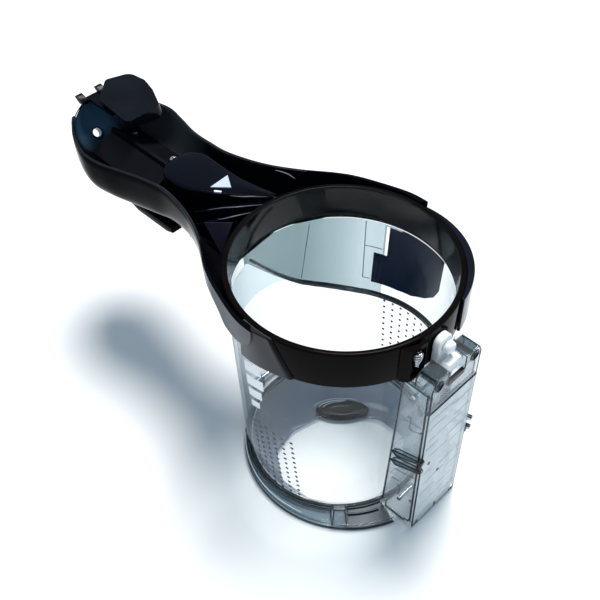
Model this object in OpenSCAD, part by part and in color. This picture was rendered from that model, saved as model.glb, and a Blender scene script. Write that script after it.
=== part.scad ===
// Dust container of a stick vacuum cleaner: a clear drum in a black collar with a
// cradle-shaped release arm, a clear latch channel on the other side and a drop-down lid.
// Frame: origin on the drum's axis at the plane it stands on, +Z up,
// +X toward the latch channel, -X along the release arm.

/* [Collar] */
// Inner radius of the collar's mouth
collar_inner_r = 58; // [56:0.5:60]
// Outer radius of the collar band
collar_outer_r = 61.4; // [61:0.1:62]
// Height of the collar's top edge above the floor
collar_top_z = 145; // [140:1:150]
// Height of the collar band
collar_band_h = 23.5; // [20:0.5:25]

/* [Drum] */
// Outer radius of the drum at its top
drum_top_r = 60; // [59:0.1:60]
// Outer radius of the drum at its bottom edge
drum_base_r = 55; // [53:0.5:57]
// Wall thickness of the drum
drum_wall = 2; // [1.6:0.1:2.4]
// Height of the drum's bottom edge above the floor
drum_base_z = 3.6; // [3.6:0.1:4]

/* [Lid] */
// Radius of the lid
lid_r = 62; // [60:0.5:63]
// Distance of the lid's centre from the drum's axis, toward the channel
lid_offset_x = 8; // [6:0.5:9]
// Thickness of the lid's plate
lid_t = 2.2; // [2:0.1:2.4]

/* [Channel] */
// Outer width of the latch channel
channel_w = 37.6; // [36:0.1:40]
// Distance of the channel's front face from the drum's axis
channel_front_x = 74.8; // [73:0.1:77]
// Height of the seam between the two front covers
channel_seam_z = 105; // [100:1:108]
// Height of the channel's ears
channel_top_z = 128; // [126:1:130]
// Wall thickness of the channel
channel_wall = 1.8; // [1.5:0.1:2.2]

/* [Arm] */
// Thickness of the arm's floor
arm_floor_t = 2.2; // [2:0.1:3]
// Radius of the contact hole in the arm's end
socket_r = 2.75; // [2:0.25:3.5]

/* [Travel] */
// Travel of the white release bar
release_travel = 2.5; // [2:0.1:2.5]
// Travel of the ribbed button under the arm
button_travel = 3; // [2:0.5:3]

/* [Hidden] */

$fn = 96;
hull_fn = 32;
fine = 48;
overlap = 0.05;

socket_x = -212.6;
socket_y = -0.6;
socket_z = 115.4;
socket_tilt = 50.7;
socket_bush_l = 5;

collar_bottom_z = collar_top_z - collar_band_h;
drum_top_z = collar_bottom_z + 3;
gasket_t = 1;

hinge_x = -60.8;
hinge_z = 4.4;
hinge_pin_r = 1.5;
running = 0.05;
knuckle_r = 3.2;
lid_knuckle_half = 7.5;
drum_knuckle_w = 6;
drum_knuckle_y = 11;

channel_half = channel_w / 2;
front_t = 1.8;
front_in_x = channel_front_x - front_t;
shelf_z = 60;
deck_z = 116;
deck_t = 2;
ear_inner_y = 6.4;
ear_back_x = 64;
ear_bottom_z = 118.6;
screw_y = 13.6;
screw_z = 123;
screw_head_r = 2.5;
screw_shank_r = 1.3;

rod_x = 70;
rod_r = 1.5;
seat_z = 92;
spring_top_z = 108;

catch_x = 63.5;
catch_z = 17;
catch_pin_r = 1.25;
catch_tail = 9;
catch_tail_h = 1.2;

post_x = 64.4;
post_pin_z = 110;
post_half_w = 5;

button_x0 = -165;
button_x1 = -124;
button_half_w = 14;
button_bottom_z = 92.5;
button_floor_z = 97.5;
button_recess = 2;
button_spring_x = -144;
button_spring_r = 4;
button_spring_top_z = 119;

lobe_bottom_z = 137.3;
lobe_top_z = 145.5;
lobe_h = lobe_top_z - lobe_bottom_z;

// Draws a side-view outline (x, z) as a plate of a given width across Y
module side_plate(width, y = 0) {
    translate([0, y, 0])
        rotate([90, 0, 0])
            linear_extrude(height = width, center = true)
                children();
}

// A cylinder that lies along Y
module y_cylinder(r, length, x, z, y = 0) {
    translate([x, y, z])
        rotate([90, 0, 0])
            cylinder(r = r, h = length, center = true);
}

// A cylinder that lies along X, from x0 to x1
module x_cylinder(r, x0, x1, y, z) {
    translate([x0, y, z])
        rotate([0, 90, 0])
            cylinder(r = r, h = x1 - x0);
}

// The solid cone that the drum's outside follows, grown by a gap
module drum_cone(gap) {
    translate([0, 0, drum_base_z])
        cylinder(r1 = drum_base_r + gap, r2 = drum_top_r + gap, h = drum_top_z - drum_base_z);
}

// ---- springs ----

// Closed tube swept round a helix; it stands on z0 and reaches z1
module coil(coil_r, wire_r, z0, z1, turns) {
    steps = 14 * turns;
    sides = 8;
    rise = z1 - z0 - 2 * wire_r;
    points = [for (i = [0:steps], j = [0:sides - 1])
        let (a = 360 * i / 14, b = 360 * j / sides, r = coil_r + wire_r * cos(b))
            [r * cos(a), r * sin(a), z0 + wire_r + rise * i / steps + wire_r * sin(b)]];
    walls = [for (i = [0:steps - 1], j = [0:sides - 1])
        let (k = (j + 1) % sides)
            [i * sides + j, (i + 1) * sides + j, (i + 1) * sides + k, i * sides + k]];
    start_cap = [[for (j = [0:sides - 1]) j]];
    end_cap = [[for (j = [sides - 1:-1:0]) steps * sides + j]];
    polyhedron(points = points, faces = concat(walls, start_cap, end_cap), convexity = 6);
}

// ---- arm surface ----

// Stations along the arm, from the tip to the collar. Each row is: x of the floor's middle,
// half width at the rim, half angle of the ring's bow in plan, rim height, belly height,
// wall thickness
ARM = [[-218.4, 16.5, 56, 137, 131, 2.2],
       [-213, 21, 48, 137, 116, 2.2],
       [-201, 28, 34, 136.5, 104.5, 2.2],
       [-182, 33, 18, 135.5, 101, 2.2],
       [-164, 31.5, 4, 134.5, 101, 2.2],
       [-147, 27.5, 1, 135.5, 102, 2.2],
       [-130, 25, 3, 138, 104.5, 2.2],
       [-113, 24.5, 8, 140, 108.5, 2.2],
       [-92, 30, 18, 142, 114, 2.2],
       [-76, 40, 30, 144, 118, 2.3],
       [-69, 53, 50, 145, 120.5, 2.4],
       [-65.2, 60, 66, 145, 121.3, 2.5],
       [-63, 64.5, 79, 145, 121.5, 2.8],
       [-61.6, 65, 88, 145, 121.5, 3.35]];
arm_spans = len(ARM) - 1;
arm_steps = 3;
arm_sides = 20;

// Smooth curve through the rows of a table, at a position counted in rows
function smooth(t, c) =
    let (i = min(floor(t), arm_spans - 1), u = t - i,
         a = ARM[max(i - 1, 0)][c], b = ARM[i][c],
         d = ARM[i + 1][c], e = ARM[min(i + 2, arm_spans)][c])
    b + 0.5 * u * (d - a + u * (2 * a - 5 * b + 4 * d - e + u * (3 * (b - d) + e - a)));

// A point of a ring: v runs from -1 at one rim through 0 at the floor to 1 at the other
function ring_point(t, v, inner, square) =
    let (a = max(smooth(t, 2), 0.5),
         wall = inner ? smooth(t, 5) : 0,
         w = smooth(t, 1) - wall,
         rim = smooth(t, 3),
         belly = smooth(t, 4) + (inner ? arm_floor_t : 0),
         side = pow(abs(sin(90 * v)), 2 / square) * sign(v),
         drop = pow(cos(90 * v), 2 / square),
         r = w / sin(a),
         tip = inner ? arm_floor_t * max(0, 1 - t) : 0)
    [smooth(t, 0) + tip + r * (1 - cos(side * a)),
     r * sin(side * a),
     rim - (rim - min(belly, rim - 0.8)) * drop];

function ring(t) = concat(
    [for (j = [0:arm_sides]) ring_point(t, 2 * j / arm_sides - 1, false, 3.2)],
    [for (j = [arm_sides:-1:0]) ring_point(t, 2 * j / arm_sides - 1, true, 2.6)]);

// The open trough from the arm's tip to the collar, with flanges that wrap the collar
module arm_trough() {
    rings = arm_spans * arm_steps;
    n = 2 * (arm_sides + 1);
    points = [for (i = [0:rings]) each ring(i / arm_steps)];
    walls = [for (i = [0:rings - 1], j = [0:n - 1])
        let (k = (j + 1) % n, p = i * n, q = p + n)
            each [[p + j, q + j, q + k], [p + j, q + k, p + k]]];
    start_cap = [for (j = [0:arm_sides - 1])
        each [[j, j + 1, n - 2 - j], [j, n - 2 - j, n - 1 - j]]];
    last = rings * n;
    end_cap = [for (j = [0:arm_sides - 1])
        each [[last + j, last + n - 2 - j, last + j + 1],
              [last + j, last + n - 1 - j, last + n - 2 - j]]];
    polyhedron(points = points, faces = concat(walls, start_cap, end_cap), convexity = 8);
}

// Wall that carries the cup's end up to the sliding hooks, higher toward the lobe
module end_brow() {
    brow_r = 19.8;
    brow_x = -198.5;
    brow_t = 2;
    intersection() {
        difference() {
            translate([brow_x, 0, 130])
                cylinder(r = brow_r, h = 10);
            translate([brow_x, 0, 129])
                cylinder(r = brow_r - brow_t, h = 12);
        }
        translate([brow_x - 22, 0, 0])
            rotate([90, 0, 90])
                linear_extrude(height = 15)
                    polygon([[-13.2, 133.2], [-6, 135.2], [1.5, 138.1], [12.8, 138.1],
                             [12.8, 131.9], [0, 131], [-13.2, 131.9]]);
    }
}

// ---- collar and drum ----

// Black collar band with a stepped seat for the drum and a boss for the contact spring
module collar() {
    seat_r = drum_top_r + 0.1;
    color("#231f20")
    difference() {
        union() {
            rotate_extrude()
                polygon([[collar_inner_r, drum_top_z + gasket_t], [seat_r, drum_top_z + gasket_t],
                         [seat_r, collar_bottom_z], [collar_outer_r, collar_bottom_z],
                         [collar_outer_r, collar_top_z - 0.6], [collar_outer_r - 0.6, collar_top_z],
                         [collar_inner_r + 0.6, collar_top_z], [collar_inner_r, collar_top_z - 0.6]]);
            difference() {
                translate([0, 0, collar_bottom_z])
                    linear_extrude(height = collar_band_h - 1)
                        polygon([[50, -23.5], [58.2, -23.5], [62, -21], [63.4, -10.5], [50, -10.5]]);
                translate([0, 0, collar_bottom_z - 1])
                    cylinder(r = collar_outer_r - 1, h = 30);
            }
        }
        translate([58.9, -19.6, 125])
            cube([10, 8, 15.5]);
    }
}

// Flared black cowl over the air inlet, on the far side beside the channel
module inlet_cowl() {
    cowl_shift = 14;
    cowl_azimuth = 50;
    cowl_r = 51.4;
    cowl_start = 20;
    cowl_end = 88;
    color("#1c1d22")
    difference() {
        rotate([0, 0, cowl_azimuth])
            translate([cowl_shift, 0, collar_bottom_z])
                cylinder(r = cowl_r, h = collar_band_h - 0.4);
        translate([0, 0, collar_bottom_z - 1])
            cylinder(r = collar_outer_r + overlap, h = collar_band_h + 2);
        rotate([0, 0, cowl_start])
            translate([-100, -100, collar_bottom_z - 1])
                cube([200, 100, collar_band_h + 2]);
        rotate([0, 0, cowl_end])
            translate([-100, 0, collar_bottom_z - 1])
                cube([200, 100, collar_band_h + 2]);
    }
}

// Clear tapered drum, open at both ends, with the lid's hinge knuckles
module drum() {
    color([0.78, 0.85, 0.88, 0.35])
    difference() {
        union() {
            rotate_extrude()
                polygon([[drum_base_r - drum_wall, drum_base_z], [drum_base_r, drum_base_z],
                         [drum_top_r, drum_top_z], [drum_top_r - drum_wall, drum_top_z]]);
            difference() {
                for (side = [-1, 1]) {
                    side_plate(drum_knuckle_w, side * drum_knuckle_y)
                        polygon([[hinge_x - 1.5, hinge_z + 2.6], [hinge_x, hinge_z - 2],
                                 [-56, drum_base_z], [-50, drum_base_z], [-50, 16], [-55, 16]]);
                    y_cylinder(knuckle_r, drum_knuckle_w, hinge_x, hinge_z, side * drum_knuckle_y);
                }
                translate([0, 0, -1])
                    cylinder(r = drum_base_r - 0.5, h = 34);
            }
        }
        y_cylinder(hinge_pin_r, 60, hinge_x, hinge_z);
    }
}

// Rubber ring between the drum's top edge and the collar
module collar_gasket() {
    color("#3a3a3c")
    translate([0, 0, drum_top_z])
        difference() {
            cylinder(r = drum_top_r, h = gasket_t);
            translate([0, 0, -1])
                cylinder(r = drum_top_r - drum_wall + 0.3, h = gasket_t + 2);
        }
}

// Top edge of the guide rib: rows of azimuth and height
RAMP = [[64, 77], [75, 75], [88, 73.2], [105, 71.4], [122, 70.8], [131, 71.6], [140, 73.6],
        [149, 76.6], [158, 80.8], [166, 87], [173, 94], [182, 104.4], [188, 112], [194, 119.5]];

// Guide rib on the far inner wall: it comes down from the collar and then runs level
module inlet_ramp() {
    rib_depth = 2.6;
    rib_t = 2.4;
    first = RAMP[0][0];
    last = RAMP[len(RAMP) - 1][0];
    steps = 52;
    flare = (drum_top_r - drum_base_r) / (drum_top_z - drum_base_z);
    inner_r = drum_base_r - drum_wall - overlap;
    points = [for (i = [0:steps])
        let (a = first + (last - first) * i / steps, top = lookup(a, RAMP), low = top - rib_t,
             r_top = inner_r + flare * (top - drum_base_z), r_low = inner_r + flare * (low - drum_base_z))
            for (p = [[r_top, top], [r_low, low], [r_low - rib_depth, low], [r_top - rib_depth, top]])
                [p[0] * cos(a), p[0] * sin(a), p[1]]];
    walls = [for (i = [0:steps - 1], j = [0:3])
        let (k = (j + 1) % 4, p = 4 * i, q = p + 4)
            each [[p + j, p + k, q + k], [p + j, q + k, q + j]]];
    end = 4 * steps;
    caps = [[3, 2, 1], [3, 1, 0], [end, end + 1, end + 2], [end, end + 2, end + 3]];
    color("#2c3336")
    polyhedron(points = points, faces = concat(walls, caps), convexity = 4);
}

// Stepped dark-blue sticker on the drum's outside
module label_panel() {
    label_t = 0.35;
    color("#101c46")
    intersection() {
        difference() {
            drum_cone(0.05 + label_t);
            drum_cone(0.05);
        }
        side_plate(60, 45)
            polygon([[-24.3, 75.5], [-24.3, 98.5], [-16.8, 98.5], [-16.8, 121], [23, 121],
                     [22.6, 99], [19, 91], [12, 84], [2, 78], [-8, 76]]);
    }
}

// ---- arm ----

// Black arm moulding: the trough, its contact hole and the slot for the button's stem
module arm_shell() {
    color("#1d1f26")
    difference() {
        union() {
            arm_trough();
            end_brow();
        }
        translate([0, 0, 100])
            cylinder(r = collar_outer_r + overlap, h = 60);
        translate([socket_x, socket_y, socket_z])
            rotate([0, socket_tilt, 0])
                cylinder(r = socket_r + 1.3, h = 20, center = true);
        translate([button_spring_x, 0, 90])
            cylinder(r = button_spring_r + 2, h = 25);
    }
}

// Thin floor insert with a raised rail down its middle
module arm_tray() {
    tray_x0 = -192;
    tray_x1 = -136;
    tray_half_w = 17;
    color("#3a3f4c")
    difference() {
        union() {
            translate([tray_x0, 0, 0])
                rotate([90, 0, 90])
                    linear_extrude(height = tray_x1 - tray_x0)
                        polygon([[-tray_half_w, 119.5], [-12, 122], [-2, 127.5], [-1, 130],
                                 [1, 130], [2, 127.5], [12, 123], [tray_half_w, 121],
                                 [tray_half_w, 119.2], [12, 121.4], [1.5, 126], [-1.5, 126],
                                 [-12, 120.2], [-tray_half_w, 117.7]]);
            translate([button_spring_x, 0, button_spring_top_z])
                cylinder(r = button_spring_r + 1.2, h = 5.5);
        }
        for (x = [tray_x0 + 10, tray_x1 - 10])
            translate([x, 9, 110])
                cylinder(r = screw_shank_r, h = 20);
    }
}

// Raised tongue between the arm's floor and the collar: round at the arm's end, it narrows to
// a point at the collar, with a lower ledge beside it
module arm_pad() {
    round_x = -119;
    color("#4a5262")
    difference() {
        union() {
            hull() {
                translate([round_x, 0, 116])
                    cylinder(r = 15, h = 20.5, $fn = hull_fn);
                translate([round_x, 0, 116])
                    cylinder(r = 12, h = 23, $fn = hull_fn);
                translate([-104, -6, 118])
                    cylinder(r = 9, h = 20, $fn = hull_fn);
                translate([-63.5, 9.5, 124])
                    cube([1, 6, 20.6]);
            }
            hull() {
                translate([round_x, 0, 116])
                    cylinder(r = 13, h = 16, $fn = hull_fn);
                translate([-63.5, -8, 124])
                    cube([1, 20, 12]);
            }
        }
        hull() {
            translate([round_x, 0, 114])
                cylinder(r = 11.5, h = 16, $fn = hull_fn);
            translate([-68, 0, 122])
                cube([1, 8, 12]);
        }
    }
}

// Slim triangle that points to the drum, let into the tongue's top
module arrow_mark() {
    tongue_slope = 4.74;
    color("#dfe3ea")
    translate([-94, 0, 141.7])
        rotate([0, -tongue_slope, 0])
            linear_extrude(height = 0.7)
                polygon([[0, -5.7], [-1, 7.9], [9.2, 1.4]]);
}

// Raised cover on one side of the arm's end, over the hook slider
module end_lobe() {
    color("#2e3340")
    difference() {
        hull() {
            translate([-212.5, 16.5, lobe_bottom_z])
                cylinder(r1 = 4.2, r2 = 3.5, h = lobe_h, $fn = hull_fn);
            translate([-206.5, 25, lobe_bottom_z])
                cylinder(r1 = 5, r2 = 6.5, h = lobe_h, $fn = hull_fn);
            translate([-199, 27, lobe_bottom_z])
                cylinder(r1 = 4.5, r2 = 5.5, h = lobe_h, $fn = hull_fn);
            translate([-189, 25, lobe_bottom_z])
                cylinder(r = 5, h = lobe_h - 0.4, $fn = hull_fn);
            translate([-176.5, 19.5, lobe_bottom_z])
                cylinder(r1 = 6.5, r2 = 4.8, h = lobe_h - 1, $fn = hull_fn);
            translate([-174.5, 1, lobe_bottom_z + 2])
                cylinder(r = 3.2, h = lobe_h - 2.8, $fn = hull_fn);
            translate([-200, 2.6, lobe_bottom_z + 2])
                cylinder(r = 3, h = lobe_h - 2, $fn = hull_fn);
        }
        translate([-230, -16, lobe_bottom_z - 1])
            cube([50, 31, lobe_h - 0.6]);
        translate([-206, 14, lobe_bottom_z - 1])
            cube([24, 10, lobe_h - 0.6]);
    }
}

// Bush in the arm's end that leaves a round contact hole
module socket_bush() {
    color("#4d6a8a")
    translate([socket_x, socket_y, socket_z])
        rotate([0, socket_tilt, 0])
            difference() {
                cylinder(r = socket_r + 1.3, h = socket_bush_l, center = true);
                cylinder(r = socket_r, h = 20, center = true);
            }
}

// One countersunk cross-head screw, pointing down from its head at the origin
module screw(head_r, shank_r, length) {
    difference() {
        union() {
            translate([0, 0, -1.5])
                cylinder(r1 = shank_r, r2 = head_r, h = 1.5);
            translate([0, 0, -length])
                cylinder(r = shank_r, h = length);
        }
        for (turn = [0, 90])
            rotate([0, 0, turn])
                translate([-head_r * 0.6, -0.35, -0.9])
                    cube([head_r * 1.2, 0.7, 2]);
    }
}

module tray_screws() {
    color("#8d9096")
    for (x = [-182, -146])
        translate([x, 9, 125.8])
            screw(2.2, screw_shank_r, 9);
}

// Frame under the arm that guides the ribbed button
module button_guide() {
    wall = 1.8;
    gap = 0.4;
    guide_h = button_travel + 0.3;
    outer_half = button_half_w + gap + wall;
    color("#1d1f26")
    difference() {
        translate([button_x0 - gap - wall, -outer_half, button_floor_z])
            cube([button_x1 - button_x0 + 2 * (gap + wall), 2 * outer_half, guide_h]);
        translate([button_x0 - gap, -button_half_w - gap, button_floor_z - 1])
            cube([button_x1 - button_x0 + 2 * gap, 2 * (button_half_w + gap), 8]);
    }
}

// Bright coil in the collar's boss that carries current to the handle
module contact_spring() {
    color("#c9cdd2")
    translate([61.4, -15.6, 0])
        coil(1.8, 0.45, 125.3, 139.8, 5);
}

// ---- latch channel ----

// Clear three-sided channel with a shelf, a top deck, side ledges and cross ribs
module channel_housing() {
    ledge_w = 2.4;
    ledge_t = 2.2;
    color([0.8, 0.86, 0.88, 0.35])
    difference() {
        union() {
            for (side = [-1, 1]) {
                side_plate(channel_wall, side * (channel_half - channel_wall / 2))
                    polygon([[54.6, 0], [front_in_x, 0], [front_in_x, ear_bottom_z],
                             [62.5, ear_bottom_z], [62.5, ear_bottom_z + 2],
                             [50, ear_bottom_z + 2], [50, 5], [54.6, 5]]);
                for (z = [52, 60])
                    side_plate(ledge_w, side * (channel_half + ledge_w / 2))
                        polygon([[57, z], [60, z - ledge_t], [76.5, z + 6], [76.5, z + 6 + ledge_t],
                                 [60, z + ledge_t]]);
            }
            translate([50, -channel_half, shelf_z])
                cube([18, channel_w, 1.6]);
            translate([50, -channel_half, deck_z])
                cube([front_in_x - 50, channel_w, deck_t]);
            for (z = [30, 88])
                translate([50, -channel_half, z])
                    cube([11, channel_w, 1.6]);
        }
        drum_cone(0.1);
        translate([0, 0, collar_bottom_z - 6])
            cylinder(r = collar_outer_r + 0.3, h = 30);
        translate([post_x - 2.9, -post_half_w - 0.5, deck_z - 1])
            cube([6.2, 2 * post_half_w + 1, 4]);
        translate([rod_x - 1.9, -6, deck_z - 1])
            cube([6, 12, 4]);
        y_cylinder(catch_pin_r, 60, catch_x, catch_z);
        y_cylinder(catch_pin_r, 60, post_x, post_pin_z);
    }
}

// Clear lower front cover, with raised ribs inside and stepped feet
module cover_lower() {
    color([0.84, 0.88, 0.9, 0.35])
    difference() {
        union() {
            translate([front_in_x, -channel_half, 0])
                cube([front_t, channel_w, channel_seam_z - 0.15]);
            for (z = [24, 44, 66, 86], side = [-1, 1])
                translate([front_in_x - 1.2, side * 11.5 - 4, z])
                    cube([1.2 + overlap, 8, 1.4]);
        }
        for (side = [-1, 1])
            translate([front_in_x - 1, side * (channel_half - 2) - 2.5, -1])
                cube([4, 5, 5]);
    }
}

// One ear of the upper cover: a block with its outer top corner rounded round the screw
module ear(side) {
    ear_r = channel_top_z - screw_z;
    ear_l = channel_front_x - ear_back_x;
    inner_w = screw_y - ear_inner_y;
    translate([ear_back_x, side > 0 ? ear_inner_y : -screw_y, ear_bottom_z])
        cube([ear_l, inner_w, channel_top_z - ear_bottom_z]);
    translate([ear_back_x, side > 0 ? screw_y - 1 : -screw_y - ear_r, ear_bottom_z])
        cube([ear_l, ear_r + 1, screw_z - ear_bottom_z]);
    x_cylinder(ear_r, ear_back_x, channel_front_x, side * screw_y, screw_z);
}

// Clear upper front cover with two rounded ears round the screws
module cover_upper() {
    color([0.8, 0.86, 0.88, 0.35])
    difference() {
        union() {
            translate([front_in_x, -channel_half, channel_seam_z + 0.15])
                cube([front_t, channel_w, ear_bottom_z + 0.6 - channel_seam_z - 0.15]);
            for (side = [-1, 1])
                ear(side);
        }
        for (side = [-1, 1]) {
            x_cylinder(screw_shank_r, 60, 80, side * screw_y, screw_z);
            x_cylinder(screw_head_r + 0.3, channel_front_x - 1.8, 80, side * screw_y, screw_z);
        }
    }
}

module cover_screws() {
    color("#2b2d31")
    for (side = [-1, 1])
        translate([channel_front_x - 0.3, side * screw_y, screw_z])
            rotate([0, 90, 0])
                screw(screw_head_r, screw_shank_r, 10);
}

// Bridge inside the channel that the release spring stands on
module spring_seat() {
    color("#c8ced2")
    difference() {
        translate([67, -channel_half + channel_wall, seat_z - 1.6])
            cube([front_in_x - 67, channel_w - 2 * channel_wall, 1.6]);
        translate([rod_x, 0, seat_z - 5])
            cylinder(r = rod_r + 0.35, h = 10, $fn = fine);
    }
}

module hinge_pin() {
    color("#b9bcc2")
    y_cylinder(hinge_pin_r, 2 * (drum_knuckle_y + drum_knuckle_w / 2), hinge_x, hinge_z);
}

module catch_pin() {
    color("#b9bcc2")
    y_cylinder(catch_pin_r, channel_w, catch_x, catch_z);
}

module post_pin() {
    color("#b9bcc2")
    y_cylinder(catch_pin_r, channel_w, post_x, post_pin_z);
}

// ---- lid ----

// Clear bottom lid: a flanged disc with its hinge knuckle, two tent lugs and the catch post
module lid() {
    slot_half = channel_half + 0.5;
    color([0.74, 0.81, 0.85, 0.4])
    difference() {
        union() {
            difference() {
                translate([lid_offset_x, 0, 0])
                    cylinder(r = lid_r, h = lid_t);
                translate([54, -slot_half, -1])
                    cube([30, 2 * slot_half, 10]);
            }
            difference() {
                translate([lid_offset_x, 0, lid_t - overlap])
                    cylinder(r = lid_r, h = 2.2);
                translate([lid_offset_x, 0, 0])
                    cylinder(r1 = lid_r - 2.4, r2 = lid_r - 1.4, h = 6);
                cylinder(r = drum_base_r + 0.5, h = 10);
                translate([48, -slot_half, -1])
                    cube([40, 2 * slot_half, 10]);
                translate([-80, -16, 0])
                    cube([36, 32, 10]);
            }
            for (side = [-1, 1])
                rotate([0, 0, -side * 46])
                    side_plate(5.5)
                        polygon([[57, 1], [67.5, 1], [67.5, 3], [60.5, 10], [57, 10]]);
            translate([hinge_x, -lid_knuckle_half, 0])
                cube([10, 2 * lid_knuckle_half, lid_t]);
            y_cylinder(knuckle_r, 2 * lid_knuckle_half, hinge_x, hinge_z);
            side_plate(9)
                polygon([[50, 0], [70.6, 0], [70.6, 10.5], [66.3, 10.5], [66.3, 8.6],
                         [68.4, 8.6], [68.4, lid_t], [50, lid_t]]);
        }
        y_cylinder(hinge_pin_r + running, 60, hinge_x, hinge_z);
    }
}

// Dark rubber ring on the lid that closes against the drum's bottom edge
module lid_seal() {
    color("#22282c")
    translate([0, 0, lid_t])
        difference() {
            cylinder(r = drum_base_r - 0.2, h = 1.05);
            translate([0, 0, -1])
                cylinder(r = drum_base_r - 2.4, h = 4);
        }
}

// ---- release mechanism ----

// White bar between the ears that is pressed to open the lid
module release_bar() {
    head_z = ear_bottom_z + 0.6 + release_travel + 0.4;
    stem_z = deck_z + deck_t + 0.6;
    color("#f2f2f0")
    union() {
        translate([rod_x - 1.5, 0, head_z])
            rotate([90, 0, 90])
                linear_extrude(height = 4)
                    polygon([[-5.6, 0], [5.6, 0], [5.6, 5], [4.4, 6.4], [-4.4, 6.4], [-5.6, 5]]);
        translate([rod_x - 1.5, -4.6, stem_z])
            cube([2.6, 9.2, head_z - stem_z + 1]);
        translate([rod_x, 0, spring_top_z + 2.2])
            cylinder(r = rod_r, h = 10, $fn = fine);
    }
}

// Long rod down the channel, from the bar to the catch's tail
module push_rod() {
    rod_foot_z = catch_z + catch_tail_h + 0.6;
    color("#dfe3e6")
    union() {
        translate([rod_x, 0, rod_foot_z + 1])
            cylinder(r = rod_r, h = spring_top_z - rod_foot_z - 1, $fn = fine);
        translate([rod_x + 0.4, -1.4, rod_foot_z])
            cube([2.1, 2.8, 4]);
        translate([rod_x, 0, spring_top_z])
            cylinder(r = 2.6, h = 2.2, $fn = fine);
    }
}

module release_spring() {
    color("#aeb2b8")
    translate([rod_x, 0, 0])
        coil(1.9 + 0.25, 0.25, seat_z, spring_top_z, 9);
}

// White lever that holds the lid's post until the rod turns it
module lid_catch() {
    color("#f2f2f0")
    difference() {
        union() {
            side_plate(9)
                polygon([[catch_x - 1.2, 6.2], [65.9, 6.2], [65.9, 8], [catch_x + 1.2, 8.6],
                         [catch_x + 1.2, catch_z], [catch_x - 1.2, catch_z]]);
            side_plate(9)
                polygon([[catch_x - 1, catch_z - 2.2], [catch_x + catch_tail, catch_z - 1],
                         [catch_x + catch_tail, catch_z + catch_tail_h],
                         [catch_x - 1, catch_z + catch_tail_h]]);
            y_cylinder(2.9, 14, catch_x, catch_z);
        }
        y_cylinder(catch_pin_r + running, 60, catch_x, catch_z);
    }
}

// White upright latch with a rounded nub that locks the container into the cleaner
module latch_post() {
    post_top = 140.5;
    half_t = 2.1;
    color("#f4f4f2")
    difference() {
        union() {
            side_plate(2 * post_half_w)
                polygon([[post_x - half_t, post_pin_z], [post_x + half_t, post_pin_z],
                         [post_x + half_t, post_top - 2], [post_x + 1.2, post_top],
                         [post_x - 1.2, post_top], [post_x - half_t, post_top - 1]]);
            y_cylinder(2.6, 2 * post_half_w, post_x, post_pin_z);
            x_cylinder(3.3, post_x, post_x + 5.6, 0.6, 134.2);
        }
        y_cylinder(catch_pin_r + running, 60, post_x, post_pin_z);
    }
}

// ---- arm release ----

// Ribbed button under the arm
module arm_button() {
    rib_pitch = 3.2;
    rib_count = 6;
    color("#23252c")
    difference() {
        union() {
            side_plate(2 * button_half_w)
                polygon([[button_x0, button_bottom_z + 3], [button_x0 + 7, button_bottom_z],
                         [button_x1 - 6, button_bottom_z], [button_x1, button_bottom_z + 2],
                         [button_x1, button_floor_z], [button_x0, button_floor_z]]);
            for (i = [0:rib_count - 1])
                translate([button_x1 - 8 - i * rib_pitch, -11, button_bottom_z - 0.8])
                    cube([1.4, 22, 1]);
        }
        translate([button_spring_x, 0, button_floor_z - button_recess])
            cylinder(r = button_spring_r + 1.2, h = 10, $fn = fine);
    }
}

module button_spring() {
    color("#aeb2b8")
    translate([button_spring_x, 0, 0])
        coil(button_spring_r, 0.5, button_floor_z - button_recess, button_spring_top_z, 5);
}

// Plate with two hooks that stand proud of the arm's end
module hook_slider() {
    plate_z = 138.4;
    plate_t = 2;
    hook_w = 4.5;
    hook_middle_y = 3.75;
    hook_half_pitch = 7.25;
    plate_x = -216.5;
    plate_l = 26;
    color("#30333c")
    union() {
        translate([plate_x, 0, plate_z])
            cube([plate_l, 10, plate_t]);
        translate([plate_x, hook_middle_y - hook_half_pitch - hook_w / 2, plate_z])
            cube([4, 2 * hook_half_pitch + hook_w, plate_t]);
        for (side = [-1, 1])
            side_plate(hook_w, hook_middle_y + side * hook_half_pitch)
                polygon([[plate_x + 0.5, plate_z], [plate_x - 4, plate_z + 3.2],
                         [plate_x - 2.2, plate_z + 4.6], [plate_x + 1, plate_z + 4],
                         [plate_x + 4, plate_z + plate_t], [plate_x + 4, plate_z]]);
    }
}

collar();
inlet_cowl();
drum();
collar_gasket();
inlet_ramp();
label_panel();
arm_shell();
arm_tray();
arm_pad();
arrow_mark();
end_lobe();
socket_bush();
tray_screws();
button_guide();
contact_spring();
channel_housing();
cover_lower();
cover_upper();
cover_screws();
spring_seat();
hinge_pin();
catch_pin();
post_pin();
lid();
lid_seal();
release_bar();
push_rod();
release_spring();
lid_catch();
latch_post();
arm_button();
button_spring();
hook_slider();
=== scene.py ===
"""Looks of the dust container: a clear drum in a black collar, with a cradle-shaped release arm
and a clear latch channel. Lengths in this script are in millimetres until a mesh is made."""
import math

import bmesh
import bpy
from mathutils import Matrix, Vector


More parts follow.
